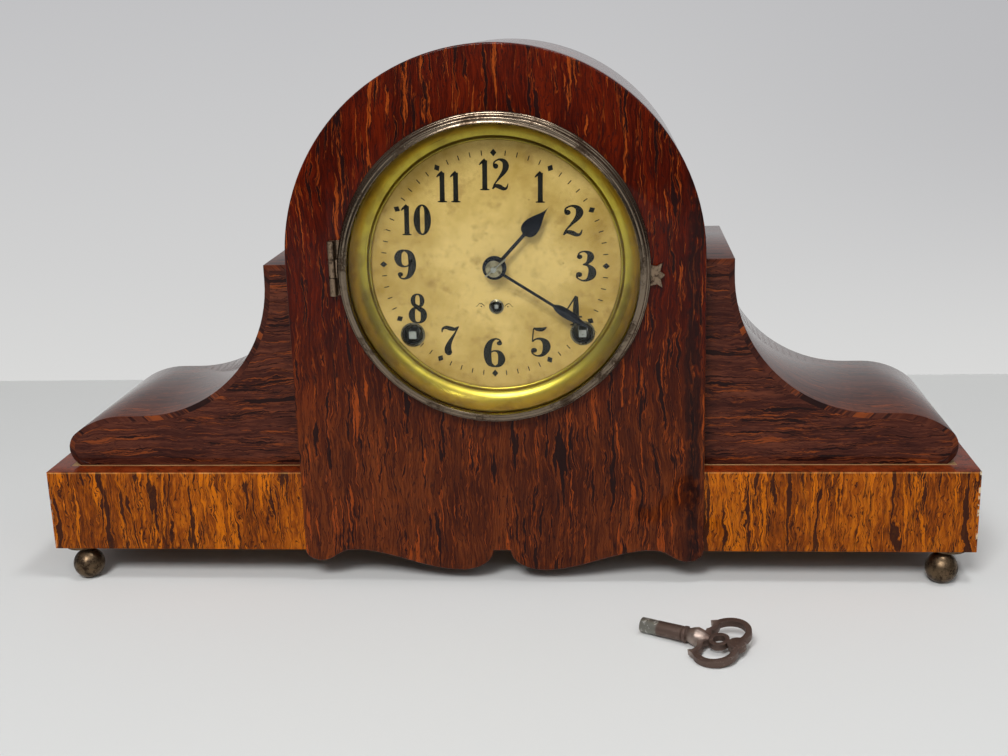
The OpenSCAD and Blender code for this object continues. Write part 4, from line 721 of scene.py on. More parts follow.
class Bench:
    """Jobs in Blender's object and edit modes."""

    @staticmethod
    def take(*objects: bpy.types.Object) -> None:
        """Selects these objects alone, the last one active."""
        if bpy.context.object and bpy.context.object.mode != "OBJECT":
            bpy.ops.object.mode_set(mode="OBJECT")
        for other in bpy.context.view_layer.objects:
            other.select_set(False)
        for obj in objects:
            obj.select_set(True)
            bpy.context.view_layer.objects.active = obj

    @staticmethod
    @contextmanager
    def editing(obj: bpy.types.Object) -> Iterator[None]:
        """Edit mode for one object, with all of it selected."""
        Bench.take(obj)
        bpy.ops.object.mode_set(mode="EDIT")
        bpy.ops.mesh.select_all(action="SELECT")
        yield
        bpy.ops.object.mode_set(mode="OBJECT")

    @staticmethod
    def settle(obj: bpy.types.Object) -> None:
        """Puts the object's place into its mesh."""
        Bench.take(obj)
        bpy.ops.object.transform_apply(location=True, rotation=True, scale=True)

    @staticmethod
    def apply(obj: bpy.types.Object) -> None:
        """Applies every modifier."""
        Bench.take(obj)
        for modifier in list(obj.modifiers):
            bpy.ops.object.modifier_apply(modifier=modifier.name)

    @staticmethod
    def smooth(obj: bpy.types.Object, degrees: float = 35.0) -> None:
        """Smooth shading but for the edges sharper than an angle."""
        Bench.take(obj)
        bpy.ops.object.shade_smooth_by_angle(angle=math.radians(degrees))

    @staticmethod
    def copy_node(name: str, node: str) -> bpy.types.Object:
        """A merged copy of a CAD node.

        Args:
            name: The new object's name.
            node: The CAD node's name.

        Returns:
            The copy, with its flat faces dissolved.
        """
        obj = bpy.data.objects.new(name, frame["nodes"][node].data.copy())
        bpy.context.scene.collection.objects.link(obj)
        with Bench.editing(obj):
            bpy.ops.mesh.customdata_custom_splitnormals_clear()
            bpy.ops.mesh.remove_doubles(threshold=2e-6)
            bpy.ops.mesh.dissolve_limited(angle_limit=math.radians(0.4))
        return obj

    @staticmethod
    def soften(obj: bpy.types.Object, width: float, segments: int = 3, angle: float = 30.0,
               wanted: Optional[Callable[[Vector, list[Vector]], bool]] = None) -> None:
        """Rounds sharp edges.

        Args:
            obj: The object to round.
            width: Width of the rounding, in millimetres.
            segments: Steps of the rounding.
            angle: Edges sharper than this are rounded, in degrees.
            wanted: Chooses edges by their middle, in millimetres, and the normals of their faces.
        """
        mesh = obj.data
        weights = mesh.attributes.new("bevel_weight_edge", "FLOAT", "EDGE")
        faces: dict[tuple[int, int], list[Vector]] = {}
        for polygon in mesh.polygons:
            for key in polygon.edge_keys:
                faces.setdefault(key, []).append(polygon.normal)
        for edge in mesh.edges:
            normals = faces.get(edge.key, [])
            if len(normals) != 2 or normals[0].angle(normals[1], 0.0) < math.radians(angle):
                continue
            a, b = (mesh.vertices[i].co for i in edge.vertices)
            if wanted is None or wanted((a + b) / 2 / MM, normals):
                weights.data[edge.index].value = 1.0
        bevel = obj.modifiers.new("edge", "BEVEL")
        bevel.limit_method = "WEIGHT"
        bevel.width = width * MM
        bevel.segments = segments
        bevel.use_clamp_overlap = True
        bevel.miter_outer = "MITER_ARC"
        Bench.apply(obj)

    @staticmethod
    def lathe(name: str, profile: Sequence[tuple[float, float]], axis_z: float,
              steps: int = 200) -> bpy.types.Object:
        """A closed profile spun about the dial's axis.

        Args:
            name: The new object's name.
            profile: Radius and depth of each corner, in millimetres.
            axis_z: Height of the axis.
            steps: Steps of the full turn.

        Returns:
            The turned piece.
        """
        bpy.ops.mesh.primitive_circle_add(vertices=len(profile), radius=0.01)
        obj = bpy.context.object
        obj.name = name
        for vertex, (radius, depth) in zip(obj.data.vertices, profile):
            vertex.co = spot(radius, depth, axis_z)
        with Bench.editing(obj):
            bpy.ops.mesh.spin(steps=steps, angle=math.tau, center=spot(0, 0, axis_z), axis=(0, 1, 0))
            bpy.ops.mesh.select_all(action="SELECT")
            bpy.ops.mesh.remove_doubles(threshold=1e-6)
            bpy.ops.mesh.normals_make_consistent(inside=False)
        Bench.smooth(obj, 28)
        return obj

    @staticmethod
    def joined(name: str, pieces: Sequence[bpy.types.Object]) -> bpy.types.Object:
        """Pieces joined into one object."""
        Bench.take(*pieces)
        if len(pieces) > 1:
            bpy.ops.object.join()
        obj = bpy.context.view_layer.objects.active
        obj.name = name
        return obj

    @staticmethod
    def repeat(obj: bpy.types.Object, moves: Sequence[Matrix]) -> list[bpy.types.Object]:
        """Copies of an object, each with its own mesh, and the object itself deleted."""
        copies = []
        for number, move in enumerate(moves):
            copy = obj.copy()
            copy.data = obj.data.copy()
            copy.data.transform(move)
            copy.name = f"{obj.name}_{number}"
            bpy.context.scene.collection.objects.link(copy)
            copies.append(copy)
        bpy.data.objects.remove(obj)
        return copies

    @staticmethod
    def dress(obj: bpy.types.Object, finish: Finish) -> None:
        """Gives a piece its finish."""
        material = finish.make()
        if not obj.material_slots:
            obj.data.materials.append(material)
        for place in obj.material_slots:
            place.material = material

    @staticmethod
    def hand_over(obj: bpy.types.Object, body: str, finish: Finish, slot: str, *nodes: str) -> None:
        """Dresses a piece, lets it ride and hides the CAD nodes that it replaces.

        Args:
            obj: The piece.
            body: The CAD body that it moves with.
            finish: Its finish.
            slot: The record's material slot; not used.
            nodes: The CAD nodes that it replaces.
        """
        Bench.dress(obj, finish)
        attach(obj, body)
        if nodes:
            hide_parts(*nodes)
        log.info("piece %s: %d faces on %s", obj.name, len(obj.data.polygons), body)


# ---------------------------------------------------------------- finishes in use


PANEL = Veneer("panel_veneer", dark_band=(97.0, 104.5), blaze_from=0.6, spindle_from=0.59, ruddy_from=70.0)
HOOD = Veneer("hood_veneer", grain=Grain.HOOD, ruddy_from=70.0)
WING = Veneer("wing_veneer", grain=Grain.LEVEL, black=paint(26, 10, 9), dark=paint(50, 20, 14),
              middle=paint(74, 35, 24), light=paint(98, 51, 34), glow=paint(130, 62, 26), spindle=(2.4, 46.0),
              spindle_from=0.59, blaze=(1.8, 42.0), blaze_from=0.6, fibre=(1.0, 18.0), wave=7.0)
WING_TOP = replace(WING, name="wing_top_veneer", grain=Grain.SLOPE)
PLINTH = Veneer("plinth_veneer", black=paint(46, 20, 10), dark=paint(88, 38, 5), middle=paint(138, 66, 5),
                light=paint(178, 96, 12), glow=paint(192, 102, 6), spindle=(4.6, 70.0), spindle_from=0.58,
                blaze=(3.4, 50.0), blaze_from=0.57, fibre=(0.8, 9.0), wave=8.0, wiggle=4.2, crossing=14.0,
                line_share=0.9, centre=0.47, rail_top=62.5, rail_end=248.5)
TIMBER = BareWood("bare_wood")
RAIL_TIMBER = BareWood("bare_wood_level", upright=False)
BEZEL_METAL = Metal("bezel_metal", bright=paint(124, 110, 94), tarnish=paint(66, 53, 42), patches=0.6,
                    roughness=0.17, lay=Lay.TURNED)
FITTING_METAL = Metal("fitting_metal", bright=paint(138, 118, 98), tarnish=paint(66, 52, 42), patches=0.6,
                      patch_mm=3.0, roughness=0.3, pits=0.3)
BRASS_BOWL = Reflector("reflector_brass")
FOOT_BRASS = Metal("foot_brass", bright=paint(106, 88, 68), tarnish=paint(54, 43, 34), patches=0.6,
                   patch_mm=5.0, roughness=0.36)
MOVEMENT_BRASS = Metal("movement_brass", bright=paint(212, 182, 106), tarnish=paint(150, 118, 60),
                       patches=0.3, roughness=0.32, lay=Lay.LENGTH)
PEWTER = Metal("pewter_washer", bright=paint(168, 156, 130), tarnish=paint(96, 84, 64), patches=0.45,
               patch_mm=3.0)
# The grommets, and the plate seen through the dial's holes, carry painted shade round each hole.
GROMMET = Bushed("grommet_nickel", bright=paint(128, 118, 98), tarnish=paint(62, 54, 42), patches=0.5,
                 patch_mm=4.0, roughness=0.28, reach=(5.5, 2.7))
HOLE_SHADED_BRASS = Bushed("plate_brass_hole_shade", bright=paint(212, 182, 106), tarnish=paint(150, 118, 60),
                     patches=0.3, roughness=0.32, lay=Lay.LENGTH, reach=(8.5, 6.0))
STEEL = Metal("plain_steel", bright=paint(176, 174, 170), tarnish=paint(112, 104, 94), patches=0.35)
SPRING_STEEL = Metal("spring_steel", bright=paint(120, 124, 138), tarnish=paint(70, 66, 66), patches=0.4)
BLUED = Metal("blued_hands", bright=paint(38, 40, 50), tarnish=paint(22, 22, 28), patches=0.5, patch_mm=4.0,
              roughness=0.34)
GONG_STEEL = Metal("gong_steel", bright=paint(96, 112, 150), tarnish=paint(60, 60, 74), patches=0.4)
BLACK_IRON = Metal("black_iron", bright=paint(52, 52, 54), tarnish=paint(34, 32, 30), roughness=0.55,
                   metallic=0.4, pits=0.8)
DIAL_PAINT = DialPaint("dial_paint")
DIAL_INK = Ink("dial_ink")
GLASS = ClearGlass("bezel_glass")
KEY_IRON = KeyIron("key_iron")


# ---------------------------------------------------------------- sub-assemblies


@dataclass
class CaseWork:
    """The veneered case, its boards and its plinth."""

    panel_edge: float = 0.9
    panel_half: float = 110.0
    wing_edge: float = 0.9
    plinth_edge: float = 0.8
    front_y: float = -61.0
    dial_z: float = 171.0
    bezel_clear: float = 88.0
    veneer_nodes: dict[str, Veneer] = field(default_factory=lambda: {
        "front_panel": PANEL, "drum_hood": HOOD, "left_wing_cheeks": WING, "left_wing_top": WING_TOP,
        "right_wing_cheeks": WING, "right_wing_top": WING_TOP, "plinth_front_left": PLINTH,
        "plinth_front_right": PLINTH, "plinth_ends": PLINTH})
    timber_nodes: dict[str, BareWood] = field(default_factory=lambda: {
        "back_board": TIMBER, "back_door": TIMBER, "plinth_back": RAIL_TIMBER, "plinth_deck": RAIL_TIMBER,
        "glue_blocks": RAIL_TIMBER})

    def build(self) -> None:
        """Rounds the edges of the veneered pieces that show."""
        panel = Bench.copy_node("front_panel_veneered", "front_panel")
        Bench.soften(panel, self.panel_edge, wanted=lambda middle, _: middle.y < self.front_y + 1
                     and math.hypot(middle.x, middle.z - self.dial_z) > self.bezel_clear)
        Bench.smooth(panel)
        Bench.hand_over(panel, "case", PANEL, "case_veneer", "front_panel")
        for side, sign in (("left", -1), ("right", 1)):
            top = Bench.copy_node(f"{side}_wing_top_veneered", f"{side}_wing_top")
            outward = Vector((sign, 0, 1))
            Bench.soften(top, self.wing_edge, angle=50, wanted=lambda _, normals, way=outward: all(
                normal.dot(way) > -0.2 for normal in normals))
            Bench.smooth(top)
            Bench.hand_over(top, "case", WING_TOP, "case_veneer", f"{side}_wing_top")
            rail = Bench.copy_node(f"plinth_front_{side}_veneered", f"plinth_front_{side}")
            Bench.soften(rail, self.plinth_edge, wanted=lambda middle, normals: abs(middle.x) > self.panel_half
                         and any(normal.y < FACING_FRONT for normal in normals))
            Bench.smooth(rail)
            Bench.hand_over(rail, "case", PLINTH, "plinth_veneer", f"plinth_front_{side}")

    def dress(self) -> None:
        """Gives the boards their finishes."""
        for node, finish in {**self.veneer_nodes, **self.timber_nodes}.items():
            Bench.dress(frame["nodes"][node], finish)


@dataclass
class Feet:
    """Four polished balls under the plinth."""

    radius: float = 8.5
    flat: float = 0.5
    x: float = 232.0
    y: float = 55.5

    def build(self) -> None:
        """Turns one ball, cuts its flat and copies it to the four corners."""
        bpy.ops.mesh.primitive_uv_sphere_add(segments=64, ring_count=32, radius=self.radius * MM,
                                             location=spot(0, 0, self.radius - self.flat))
        ball = bpy.context.object
        ball.name = "ball_foot"
        Bench.settle(ball)
        with Bench.editing(ball):
            bpy.ops.mesh.bisect(plane_co=(0, 0, 0), plane_no=(0, 0, 1), use_fill=True, clear_inner=True)
        moves = [Matrix.Translation(spot(a * self.x, b * self.y, 0)) for a in (-1, 1) for b in (-1, 1)]
        feet = Bench.joined("ball_feet_polished", Bench.repeat(ball, moves))
        Bench.smooth(feet, 40)
        Bench.hand_over(feet, "case", FOOT_BRASS, "foot_brass", "ball_feet")

    def dress(self) -> None:
        """Gives the plates their finish."""
        Bench.dress(frame["nodes"]["foot_plates"], FOOT_BRASS)


@dataclass
class Bezel:
    """The turned bezel, its glass and the brass reflector behind it."""

    axis_z: float = 171.0
    outer_r: float = 79.7
    lip_r: float = 74.2
    seat_r: float = 76.6
    back_y: float = -61.4
    depth: float = 7.6
    lip_depth: float = 2.4
    bead_r: float = 65.4
    bowl_r: float = 74.8
    bowl_depth: float = 11.6
    dial_y: float = -49.0

    def rim_profile(self) -> list[tuple[float, float]]:
        """Radius and depth along the bezel's section: three rounded ridges and the glass's seat."""
        front = self.back_y - self.depth
        ridges = [(self.outer_r - 1.0, self.back_y - 1.1, 1.0), (self.outer_r - 1.9, self.back_y - 3.3, 1.15),
                  (self.outer_r - 3.4, self.back_y - 5.6, 1.45)]
        points = [(self.seat_r, self.back_y), (self.outer_r - 0.15, self.back_y)]
        for radius, depth, bulge in ridges:
            points += [(radius + bulge * math.cos(a), depth - bulge * math.sin(a))
                       for a in (math.radians(d) for d in range(-50, 111, 20))]
        points += [(self.lip_r + 1.0, front + 0.15), (self.lip_r + 0.35, front), (self.lip_r, front + 0.35),
                   (self.lip_r, front + self.lip_depth), (self.seat_r, front + self.lip_depth)]
        return points

    def bowl_profile(self) -> list[tuple[float, float]]:
        """Radius and depth along the reflector's section, with its bead and two drawn lines."""
        steps = 28
        inner = []
        for i in range(steps + 1):
            a = math.pi / 2 * i / steps
            radius = self.bead_r + (self.bowl_r - 0.7 - self.bead_r) * math.sin(a)
            depth = self.dial_y - 0.7 - self.bowl_depth * (1 - math.cos(a))
            inner.append((radius, depth))
        outer = [(r + 0.7, d + 0.35) for r, d in reversed(inner)]
        bead = [(self.bead_r + 0.9 * math.cos(a), self.dial_y - 0.9 - 0.9 * math.sin(a))
                for a in (math.radians(d) for d in range(200, 29, -17))]
        return bead + inner[3:] + outer[:-3] + [(self.bead_r, self.dial_y - 0.1)]

    def build(self) -> None:
        """Turns the bezel and the reflector."""
        rim = Bench.lathe("bezel_rim", self.rim_profile(), self.axis_z)
        Bench.hand_over(rim, "bezel", BEZEL_METAL, "bezel_metal", "bezel_ring")
        bowl = Bench.lathe("reflector_bowl", self.bowl_profile(), self.axis_z)
        Bench.hand_over(bowl, "case", BRASS_BOWL, "reflector_brass", "reflector_ring")

    def dress(self) -> None:
        """Gives the glass and the fittings their finishes."""
        nodes = frame["nodes"]
        Bench.dress(nodes["bezel_glass"], GLASS)
        for name in ("bezel_ring", "glass_clip_ring"):
            Bench.dress(nodes[name], BEZEL_METAL)
        for name in ("bezel_hinge_fixed", "bezel_hinge_moving", "bezel_thumb_tab"):
            Bench.dress(nodes[name], FITTING_METAL)
        Bench.dress(nodes["reflector_ring"], BRASS_BOWL)


@dataclass(frozen=True)
class Ring:
    """An oval stroke: its centre, half axes and half width at the sides, in shares of the digit's height."""

    x: float
    z: float
    half_x: float
    half_z: float
    heavy: float
    light: float = 0.022


Stroke = tuple[tuple[float, float, float], ...]


@dataclass(frozen=True)
class Glyph:
    """A digit: strokes as x, z and half width, ovals, and balls as x, z and radius, on a unit height."""

    strokes: tuple[Stroke, ...] = ()
    rings: tuple[Ring, ...] = ()
    balls: tuple[tuple[float, float, float], ...] = ()
    width: float = 0.6


SIX_BOWL = ((-0.19, 0.36, 0.03), (-0.1, 0.53, 0.02), (0.03, 0.565, 0.028), (0.14, 0.48, 0.06),
            (0.185, 0.28, 0.085), (0.13, 0.1, 0.06), (0.0, 0.022, 0.024))
SIX_BACK = ((0.17, 0.85, 0.02), (0.12, 0.945, 0.022), (0.01, 0.975, 0.026), (-0.12, 0.87, 0.06),
            (-0.195, 0.65, 0.085), (-0.205, 0.38, 0.088), (-0.15, 0.13, 0.065), (0.0, 0.022, 0.024))
DIGITS: dict[str, Glyph] = {
    "0": Glyph(rings=(Ring(0, 0.5, 0.2, 0.475, 0.09),), width=0.62),
    "1": Glyph(strokes=(((0.03, 0.01, 0.07), (0.03, 0.5, 0.066), (0.03, 0.95, 0.07)),
                        ((-0.15, 0.8, 0.01), (-0.08, 0.87, 0.03), (0.04, 0.985, 0.03)),
                        ((-0.12, 0.012, 0.014), (0.03, 0.02, 0.026), (0.18, 0.012, 0.014))), width=0.42),
    "2": Glyph(strokes=(((-0.2, 0.76, 0.03), (-0.19, 0.89, 0.022), (-0.04, 0.975, 0.026), (0.12, 0.92, 0.06),
                         (0.18, 0.77, 0.085), (0.12, 0.59, 0.065), (-0.04, 0.38, 0.032), (-0.19, 0.18, 0.018),
                         (-0.25, 0.03, 0.016)),
                        ((-0.25, 0.03, 0.016), (-0.17, 0.13, 0.045), (-0.03, 0.11, 0.062), (0.1, 0.045, 0.05),
                         (0.2, 0.07, 0.03), (0.25, 0.21, 0.01))), balls=((-0.145, 0.765, 0.085),), width=0.6),
    "3": Glyph(strokes=(((-0.19, 0.8, 0.02), (-0.14, 0.93, 0.02), (0.0, 0.975, 0.026), (0.13, 0.9, 0.065),
                         (0.155, 0.76, 0.078), (0.07, 0.6, 0.04), (-0.05, 0.545, 0.016)),
                        ((-0.05, 0.545, 0.016), (0.1, 0.51, 0.038), (0.2, 0.36, 0.085), (0.185, 0.18, 0.088),
                         (0.07, 0.04, 0.042), (-0.07, 0.022, 0.022), (-0.2, 0.11, 0.02),
                         (-0.215, 0.2, 0.02))),
               balls=((-0.14, 0.8, 0.075), (-0.15, 0.215, 0.085)), width=0.58),
    "4": Glyph(strokes=(((0.1, 0.01, 0.07), (0.1, 0.5, 0.07), (0.1, 0.96, 0.045)),
                        ((0.1, 0.985, 0.02), (-0.07, 0.66, 0.018), (-0.25, 0.3, 0.02)),
                        ((-0.26, 0.285, 0.024), (0.0, 0.285, 0.024), (0.27, 0.285, 0.024)),
                        ((-0.05, 0.012, 0.014), (0.1, 0.02, 0.026), (0.25, 0.012, 0.014))), width=0.6),
    "5": Glyph(strokes=(((-0.16, 0.95, 0.014), (-0.175, 0.75, 0.016), (-0.19, 0.5, 0.018)),
                        ((-0.16, 0.965, 0.02), (-0.05, 0.925, 0.05), (0.08, 0.925, 0.055), (0.2, 1.0, 0.012)),
                        ((-0.19, 0.5, 0.018), (-0.1, 0.59, 0.024), (0.04, 0.6, 0.04), (0.17, 0.49, 0.08),
                         (0.2, 0.29, 0.09), (0.1, 0.07, 0.05), (-0.06, 0.022, 0.022), (-0.18, 0.1, 0.02),
                         (-0.21, 0.2, 0.02))), balls=((-0.145, 0.21, 0.083),), width=0.58),
    "6": Glyph(strokes=(SIX_BACK, SIX_BOWL), balls=((0.125, 0.83, 0.075),), width=0.6),
    "7": Glyph(strokes=(((-0.24, 0.78, 0.01), (-0.21, 0.91, 0.03), (-0.11, 0.95, 0.05), (0.0, 0.915, 0.06),
                         (0.12, 0.9, 0.045), (0.23, 0.99, 0.012)),
                        ((0.23, 0.99, 0.012), (0.11, 0.73, 0.026), (-0.02, 0.46, 0.05), (-0.08, 0.24, 0.078),
                         (-0.06, 0.08, 0.085))), balls=((-0.06, 0.085, 0.085),), width=0.56),
    "8": Glyph(rings=(Ring(0.0, 0.765, 0.14, 0.215, 0.055), Ring(0.0, 0.28, 0.185, 0.26, 0.075)),
               strokes=(((-0.13, 0.68, 0.03), (0.0, 0.54, 0.06), (0.15, 0.4, 0.06)),), width=0.58),
    "9": Glyph(strokes=tuple(tuple((-x, 1 - z, w) for x, z, w in part) for part in (SIX_BACK, SIX_BOWL)),
               balls=((-0.125, 0.17, 0.075),), width=0.6),
}


class Mark(Enum):
    """The two marks of the minute track, by their corners."""

    TICK = ((-1, -1), (1, -1), (1, 1), (-1, 1))
    LOZENGE = ((0, -1), (1, 0), (0, 1), (-1, 0))


@dataclass
class DialPrint:
    """The printed numerals, minute marks and hour lozenges, a hair above the dial's face."""

    axis_z: float = 171.0
    face_y: float = -49.0
    lift: float = 0.05
    height: float = 15.8
    kern: float = 0.02
    weight: float = 1.2
    askew: float = 1.3
    slipped: tuple[float, float] = (-0.5, 0.5)
    numeral_r: float = 46.6
    track_r: float = 57.6
    tick: tuple[float, float] = (0.5, 2.6)
    lozenge: tuple[float, float] = (3.3, 3.9)
    broad: float = 1.2
    winding_at: tuple[float, float] = (44.5, -35.8)
    winding_clear: float = 7.4
    regulator_down: float = 21.3
    samples: int = 7

    def ribbon(self, path: Callable[[float], tuple[float, float, float]], steps: int) -> bpy.types.Object:
        """A flat band whose middle and half width follow a path.

        Args:
            path: Gives x, z and half width at a share of the way, on a unit height.
            steps: How many faces the band has.

        Returns:
            The band, with its unit height in millimetres.
        """
        bpy.ops.mesh.primitive_grid_add(x_subdivisions=steps, y_subdivisions=1, size=2)
        obj = bpy.context.object
        for vertex in obj.data.vertices:
            share, side = (vertex.co.x + 1) / 2, math.copysign(1, vertex.co.y)
            x, z, half = path(share)
            ahead, behind = path(min(1.0, share + 1e-3)), path(max(0.0, share - 1e-3))
            run = Vector((ahead[0] - behind[0], ahead[1] - behind[1])).normalized()
            vertex.co = spot(x - side * half * run.y, 0, z + side * half * run.x)
        return obj

    def stroke(self, points: Stroke) -> bpy.types.Object:
        """A band along a smooth line through points."""
        spans = len(points) - 1

        def path(share: float) -> tuple[float, float, float]:
            """Place and half width on a Catmull-Rom curve."""
            place = min(share * spans, spans - 1e-6)
            i, t = int(place), place - int(place)
            p0, p1, p2, p3 = (points[min(max(k, 0), spans)] for k in (i - 1, i, i + 1, i + 2))
            x, z, half = (0.5 * (2 * b + (c - a) * t + (2 * a - 5 * b + 4 * c - d) * t * t
                                 + (3 * b - a - 3 * c + d) * t ** 3) for a, b, c, d in zip(p0, p1, p2, p3))
            return x, z, max(half * self.weight, 0.008)

        return self.ribbon(path, spans * self.samples)

    def oval(self, ring: Ring) -> bpy.types.Object:
        """A closed band along an oval, heavy at its sides."""

        def path(share: float) -> tuple[float, float, float]:
            """Place and half width on the oval."""
            a = math.tau * share
            half = (ring.light + (ring.heavy - ring.light) * abs(math.cos(a)) ** 1.7) * self.weight
            return (ring.x + (ring.half_x - half * abs(math.cos(a)) * 0.2) * math.cos(a),
                    ring.z + ring.half_z * math.sin(a), half)

        return self.ribbon(path, 48)

    def ball(self, x: float, z: float, radius: float) -> bpy.types.Object:
        """A filled circle."""
        bpy.ops.mesh.primitive_circle_add(vertices=24, radius=radius * MM, fill_type="NGON",
                                          location=spot(x, 0, z), rotation=(math.pi / 2, 0, 0))
        obj = bpy.context.object
        Bench.settle(obj)
        return obj

    def digit(self, sign: str) -> bpy.types.Object:
        """One digit on a unit height."""
        glyph = DIGITS[sign]
        parts = [self.stroke(points) for points in glyph.strokes] + [self.oval(ring) for ring in glyph.rings]
        parts += [self.ball(*ball) for ball in glyph.balls]
        return Bench.joined(f"digit_{sign}", parts)

    def numerals(self) -> list[bpy.types.Object]:
        """The twelve hours, with each digit modelled once."""
        moves: dict[str, list[Matrix]] = {sign: [] for sign in DIGITS}
        for hour in range(1, 13):
            signs = str(hour)
            widths = [DIGITS[sign].width for sign in signs]
            left = -(sum(widths) + self.kern * (len(signs) - 1)) / 2
            angle = math.radians(90 - 30 * hour)
            centre = spot(self.numeral_r * math.cos(angle), 0,
                          self.numeral_r * math.sin(angle) - self.height / 2)
            broad = Matrix.Scale(self.broad if 1 < hour < 10 else 1.0, 4, Vector((1, 0, 0)))
            for sign, width in zip(signs, widths):
                shift = spot((left + width / 2) * self.height, 0, 0)
                moves[sign].append(Matrix.Translation(centre + shift) @ Matrix.Scale(self.height, 4) @ broad)
                left += width + self.kern
        return [copy for sign, places in moves.items() if places
                for copy in Bench.repeat(self.digit(sign), places)]

    def mark(self, shape: Mark, size: tuple[float, float]) -> bpy.types.Object:
        """A tick, or a lozenge that points along the radius."""
        bpy.ops.mesh.primitive_circle_add(vertices=len(shape.value), radius=MM, fill_type="NGON")
        obj = bpy.context.object
        obj.name = shape.name.lower()
        for vertex, (x, z) in zip(obj.data.vertices, shape.value):
            vertex.co = spot(x * size[0] / 2, 0, z * size[1] / 2)
        return obj

    def track(self) -> list[bpy.types.Object]:
        """The minute ticks and hour lozenges that the winding holes leave."""
        places: dict[bool, list[Matrix]] = {True: [], False: []}
        for minute in range(60):
            angle = math.tau * minute / 60
            x, z = self.track_r * math.sin(angle), self.track_r * math.cos(angle)
            if math.hypot(abs(x) - self.winding_at[0], z - self.winding_at[1]) > self.winding_clear:
                turn = Matrix.Rotation(angle, 4, "Y")
                places[minute % 5 == 0].append(Matrix.Translation(spot(x, 0, z)) @ turn)
        return (Bench.repeat(self.mark(Mark.TICK, self.tick), places[False])
                + Bench.repeat(self.mark(Mark.LOZENGE, self.lozenge), places[True]))

    def scrolls(self) -> list[bpy.types.Object]:
        """The two small scrolls beside the regulator's hole."""
        line = ((5.2, -0.4, 0.1), (6.6, 0.9, 0.18), (7.9, 1.0, 0.12), (9.0, -0.2, 0.1), (9.8, -0.6, 0.05))
        scroll = Bench.joined("scroll", [self.stroke(line), self.ball(6.9, -0.5, 0.36)])
        down = Matrix.Translation(spot(0, 0, -self.regulator_down))
        return Bench.repeat(scroll, [down, down @ Matrix.Scale(-1, 4, Vector((1, 0, 0)))])

    def build(self) -> None:
        """Draws all the print, turns it to the front and lays it on the dial."""
        printed = Bench.joined("dial_print", self.numerals() + self.track() + self.scrolls())
        turn = Matrix.Rotation(math.radians(self.askew), 4, "Y")
        lie = spot(self.slipped[0], self.face_y - self.lift, self.axis_z + self.slipped[1])
        printed.data.transform(Matrix.Translation(lie) @ turn)
        with Bench.editing(printed):
            bpy.ops.mesh.select_all(action="DESELECT")
        for polygon in printed.data.polygons:
            polygon.select = polygon.normal.y > 0
        Bench.take(printed)
        bpy.ops.object.mode_set(mode="EDIT")
        bpy.ops.mesh.flip_normals()
        bpy.ops.object.mode_set(mode="OBJECT")
        Bench.hand_over(printed, "case", DIAL_INK, "dial_cream")


@dataclass
class Dial:
    """The dial plate with its print and grommets."""

    print_work: DialPrint = field(default_factory=DialPrint)

    def build(self) -> None:
        """Draws the print."""
        self.print_work.build()

    def dress(self) -> None:
        """Gives the plate and the grommets their finishes."""
        Bench.dress(frame["nodes"]["dial_plate"], DIAL_PAINT)
        for name in ("winding_grommets", "regulator_grommet"):
            Bench.dress(frame["nodes"][name], GROMMET)


@dataclass
class Hands:
    """The blued hands with the washer and the pin."""

    edge: float = 0.18
    blades: dict[str, str] = field(default_factory=lambda: {
        "hour_hand": "hour_work", "minute_hand": "minute_work"})

    def build(self) -> None:
        """Takes the sharpness off both hands."""
        for node, body in self.blades.items():
            hand = Bench.copy_node(f"{node}_blued", node)
            Bench.soften(hand, self.edge, segments=2,
                         wanted=lambda _, normals: any(normal.y < FACING_FRONT for normal in normals))
            Bench.smooth(hand)
            Bench.hand_over(hand, body, BLUED, "blued_steel", node)

    def dress(self) -> None:
        """Gives the nodes their finishes."""
        for node in self.blades:
            Bench.dress(frame["nodes"][node], BLUED)
        Bench.dress(frame["nodes"]["hand_washer"], PEWTER)
        Bench.dress(frame["nodes"]["hand_pin"], STEEL)


@dataclass
class Works:
    """The movement, its pendulum, the gong and the rear door's fittings."""

    finishes: dict[Metal, tuple[str, ...]] = field(default_factory=lambda: {
        MOVEMENT_BRASS: (
            "hour_pipe", "minute_wheel", "movement_back_plate", "movement_pillars",
            "time_great_wheel", "time_second_wheel", "centre_wheel", "third_wheel", "escape_wheel",
            "strike_great_wheel", "strike_second_wheel", "strike_third_wheel", "strike_fly", "pendulum_bob",
            "back_door_hinge_fixed", "back_door_hinge_moving"),
        STEEL: ("case_screws", "centre_arbor", "movement_brackets", "time_winding_arbor", "verge",
                "strike_winding_arbor", "pendulum_rod", "regulator_arbor", "hammer"),
        # Painted shade round the holes that the dial shows.
        HOLE_SHADED_BRASS: ("movement_front_plate",),
        SPRING_STEEL: ("mainsprings",),
        GONG_STEEL: ("gong_coil",),
        BLACK_IRON: ("gong_stand",)})

    def dress(self) -> None:
        """Gives the nodes their finishes."""
        for finish, nodes in self.finishes.items():
            for node in nodes:
                Bench.dress(frame["nodes"][node], finish)


@dataclass
class WindingKey:
    """The cast key that lies before the clock."""

    edge: float = 0.75

    def build(self) -> None:
        """Rounds the casting's edges."""
        key = Bench.copy_node("winding_key_cast", "winding_key")
        Bench.soften(key, self.edge, segments=3, angle=50)
        Bench.smooth(key, 40)
        Bench.hand_over(key, "key", KEY_IRON, "key_iron", "winding_key")

    def dress(self) -> None:
        """Gives the node its finish."""
        Bench.dress(frame["nodes"]["winding_key"], KEY_IRON)


# ---------------------------------------------------------------- studio


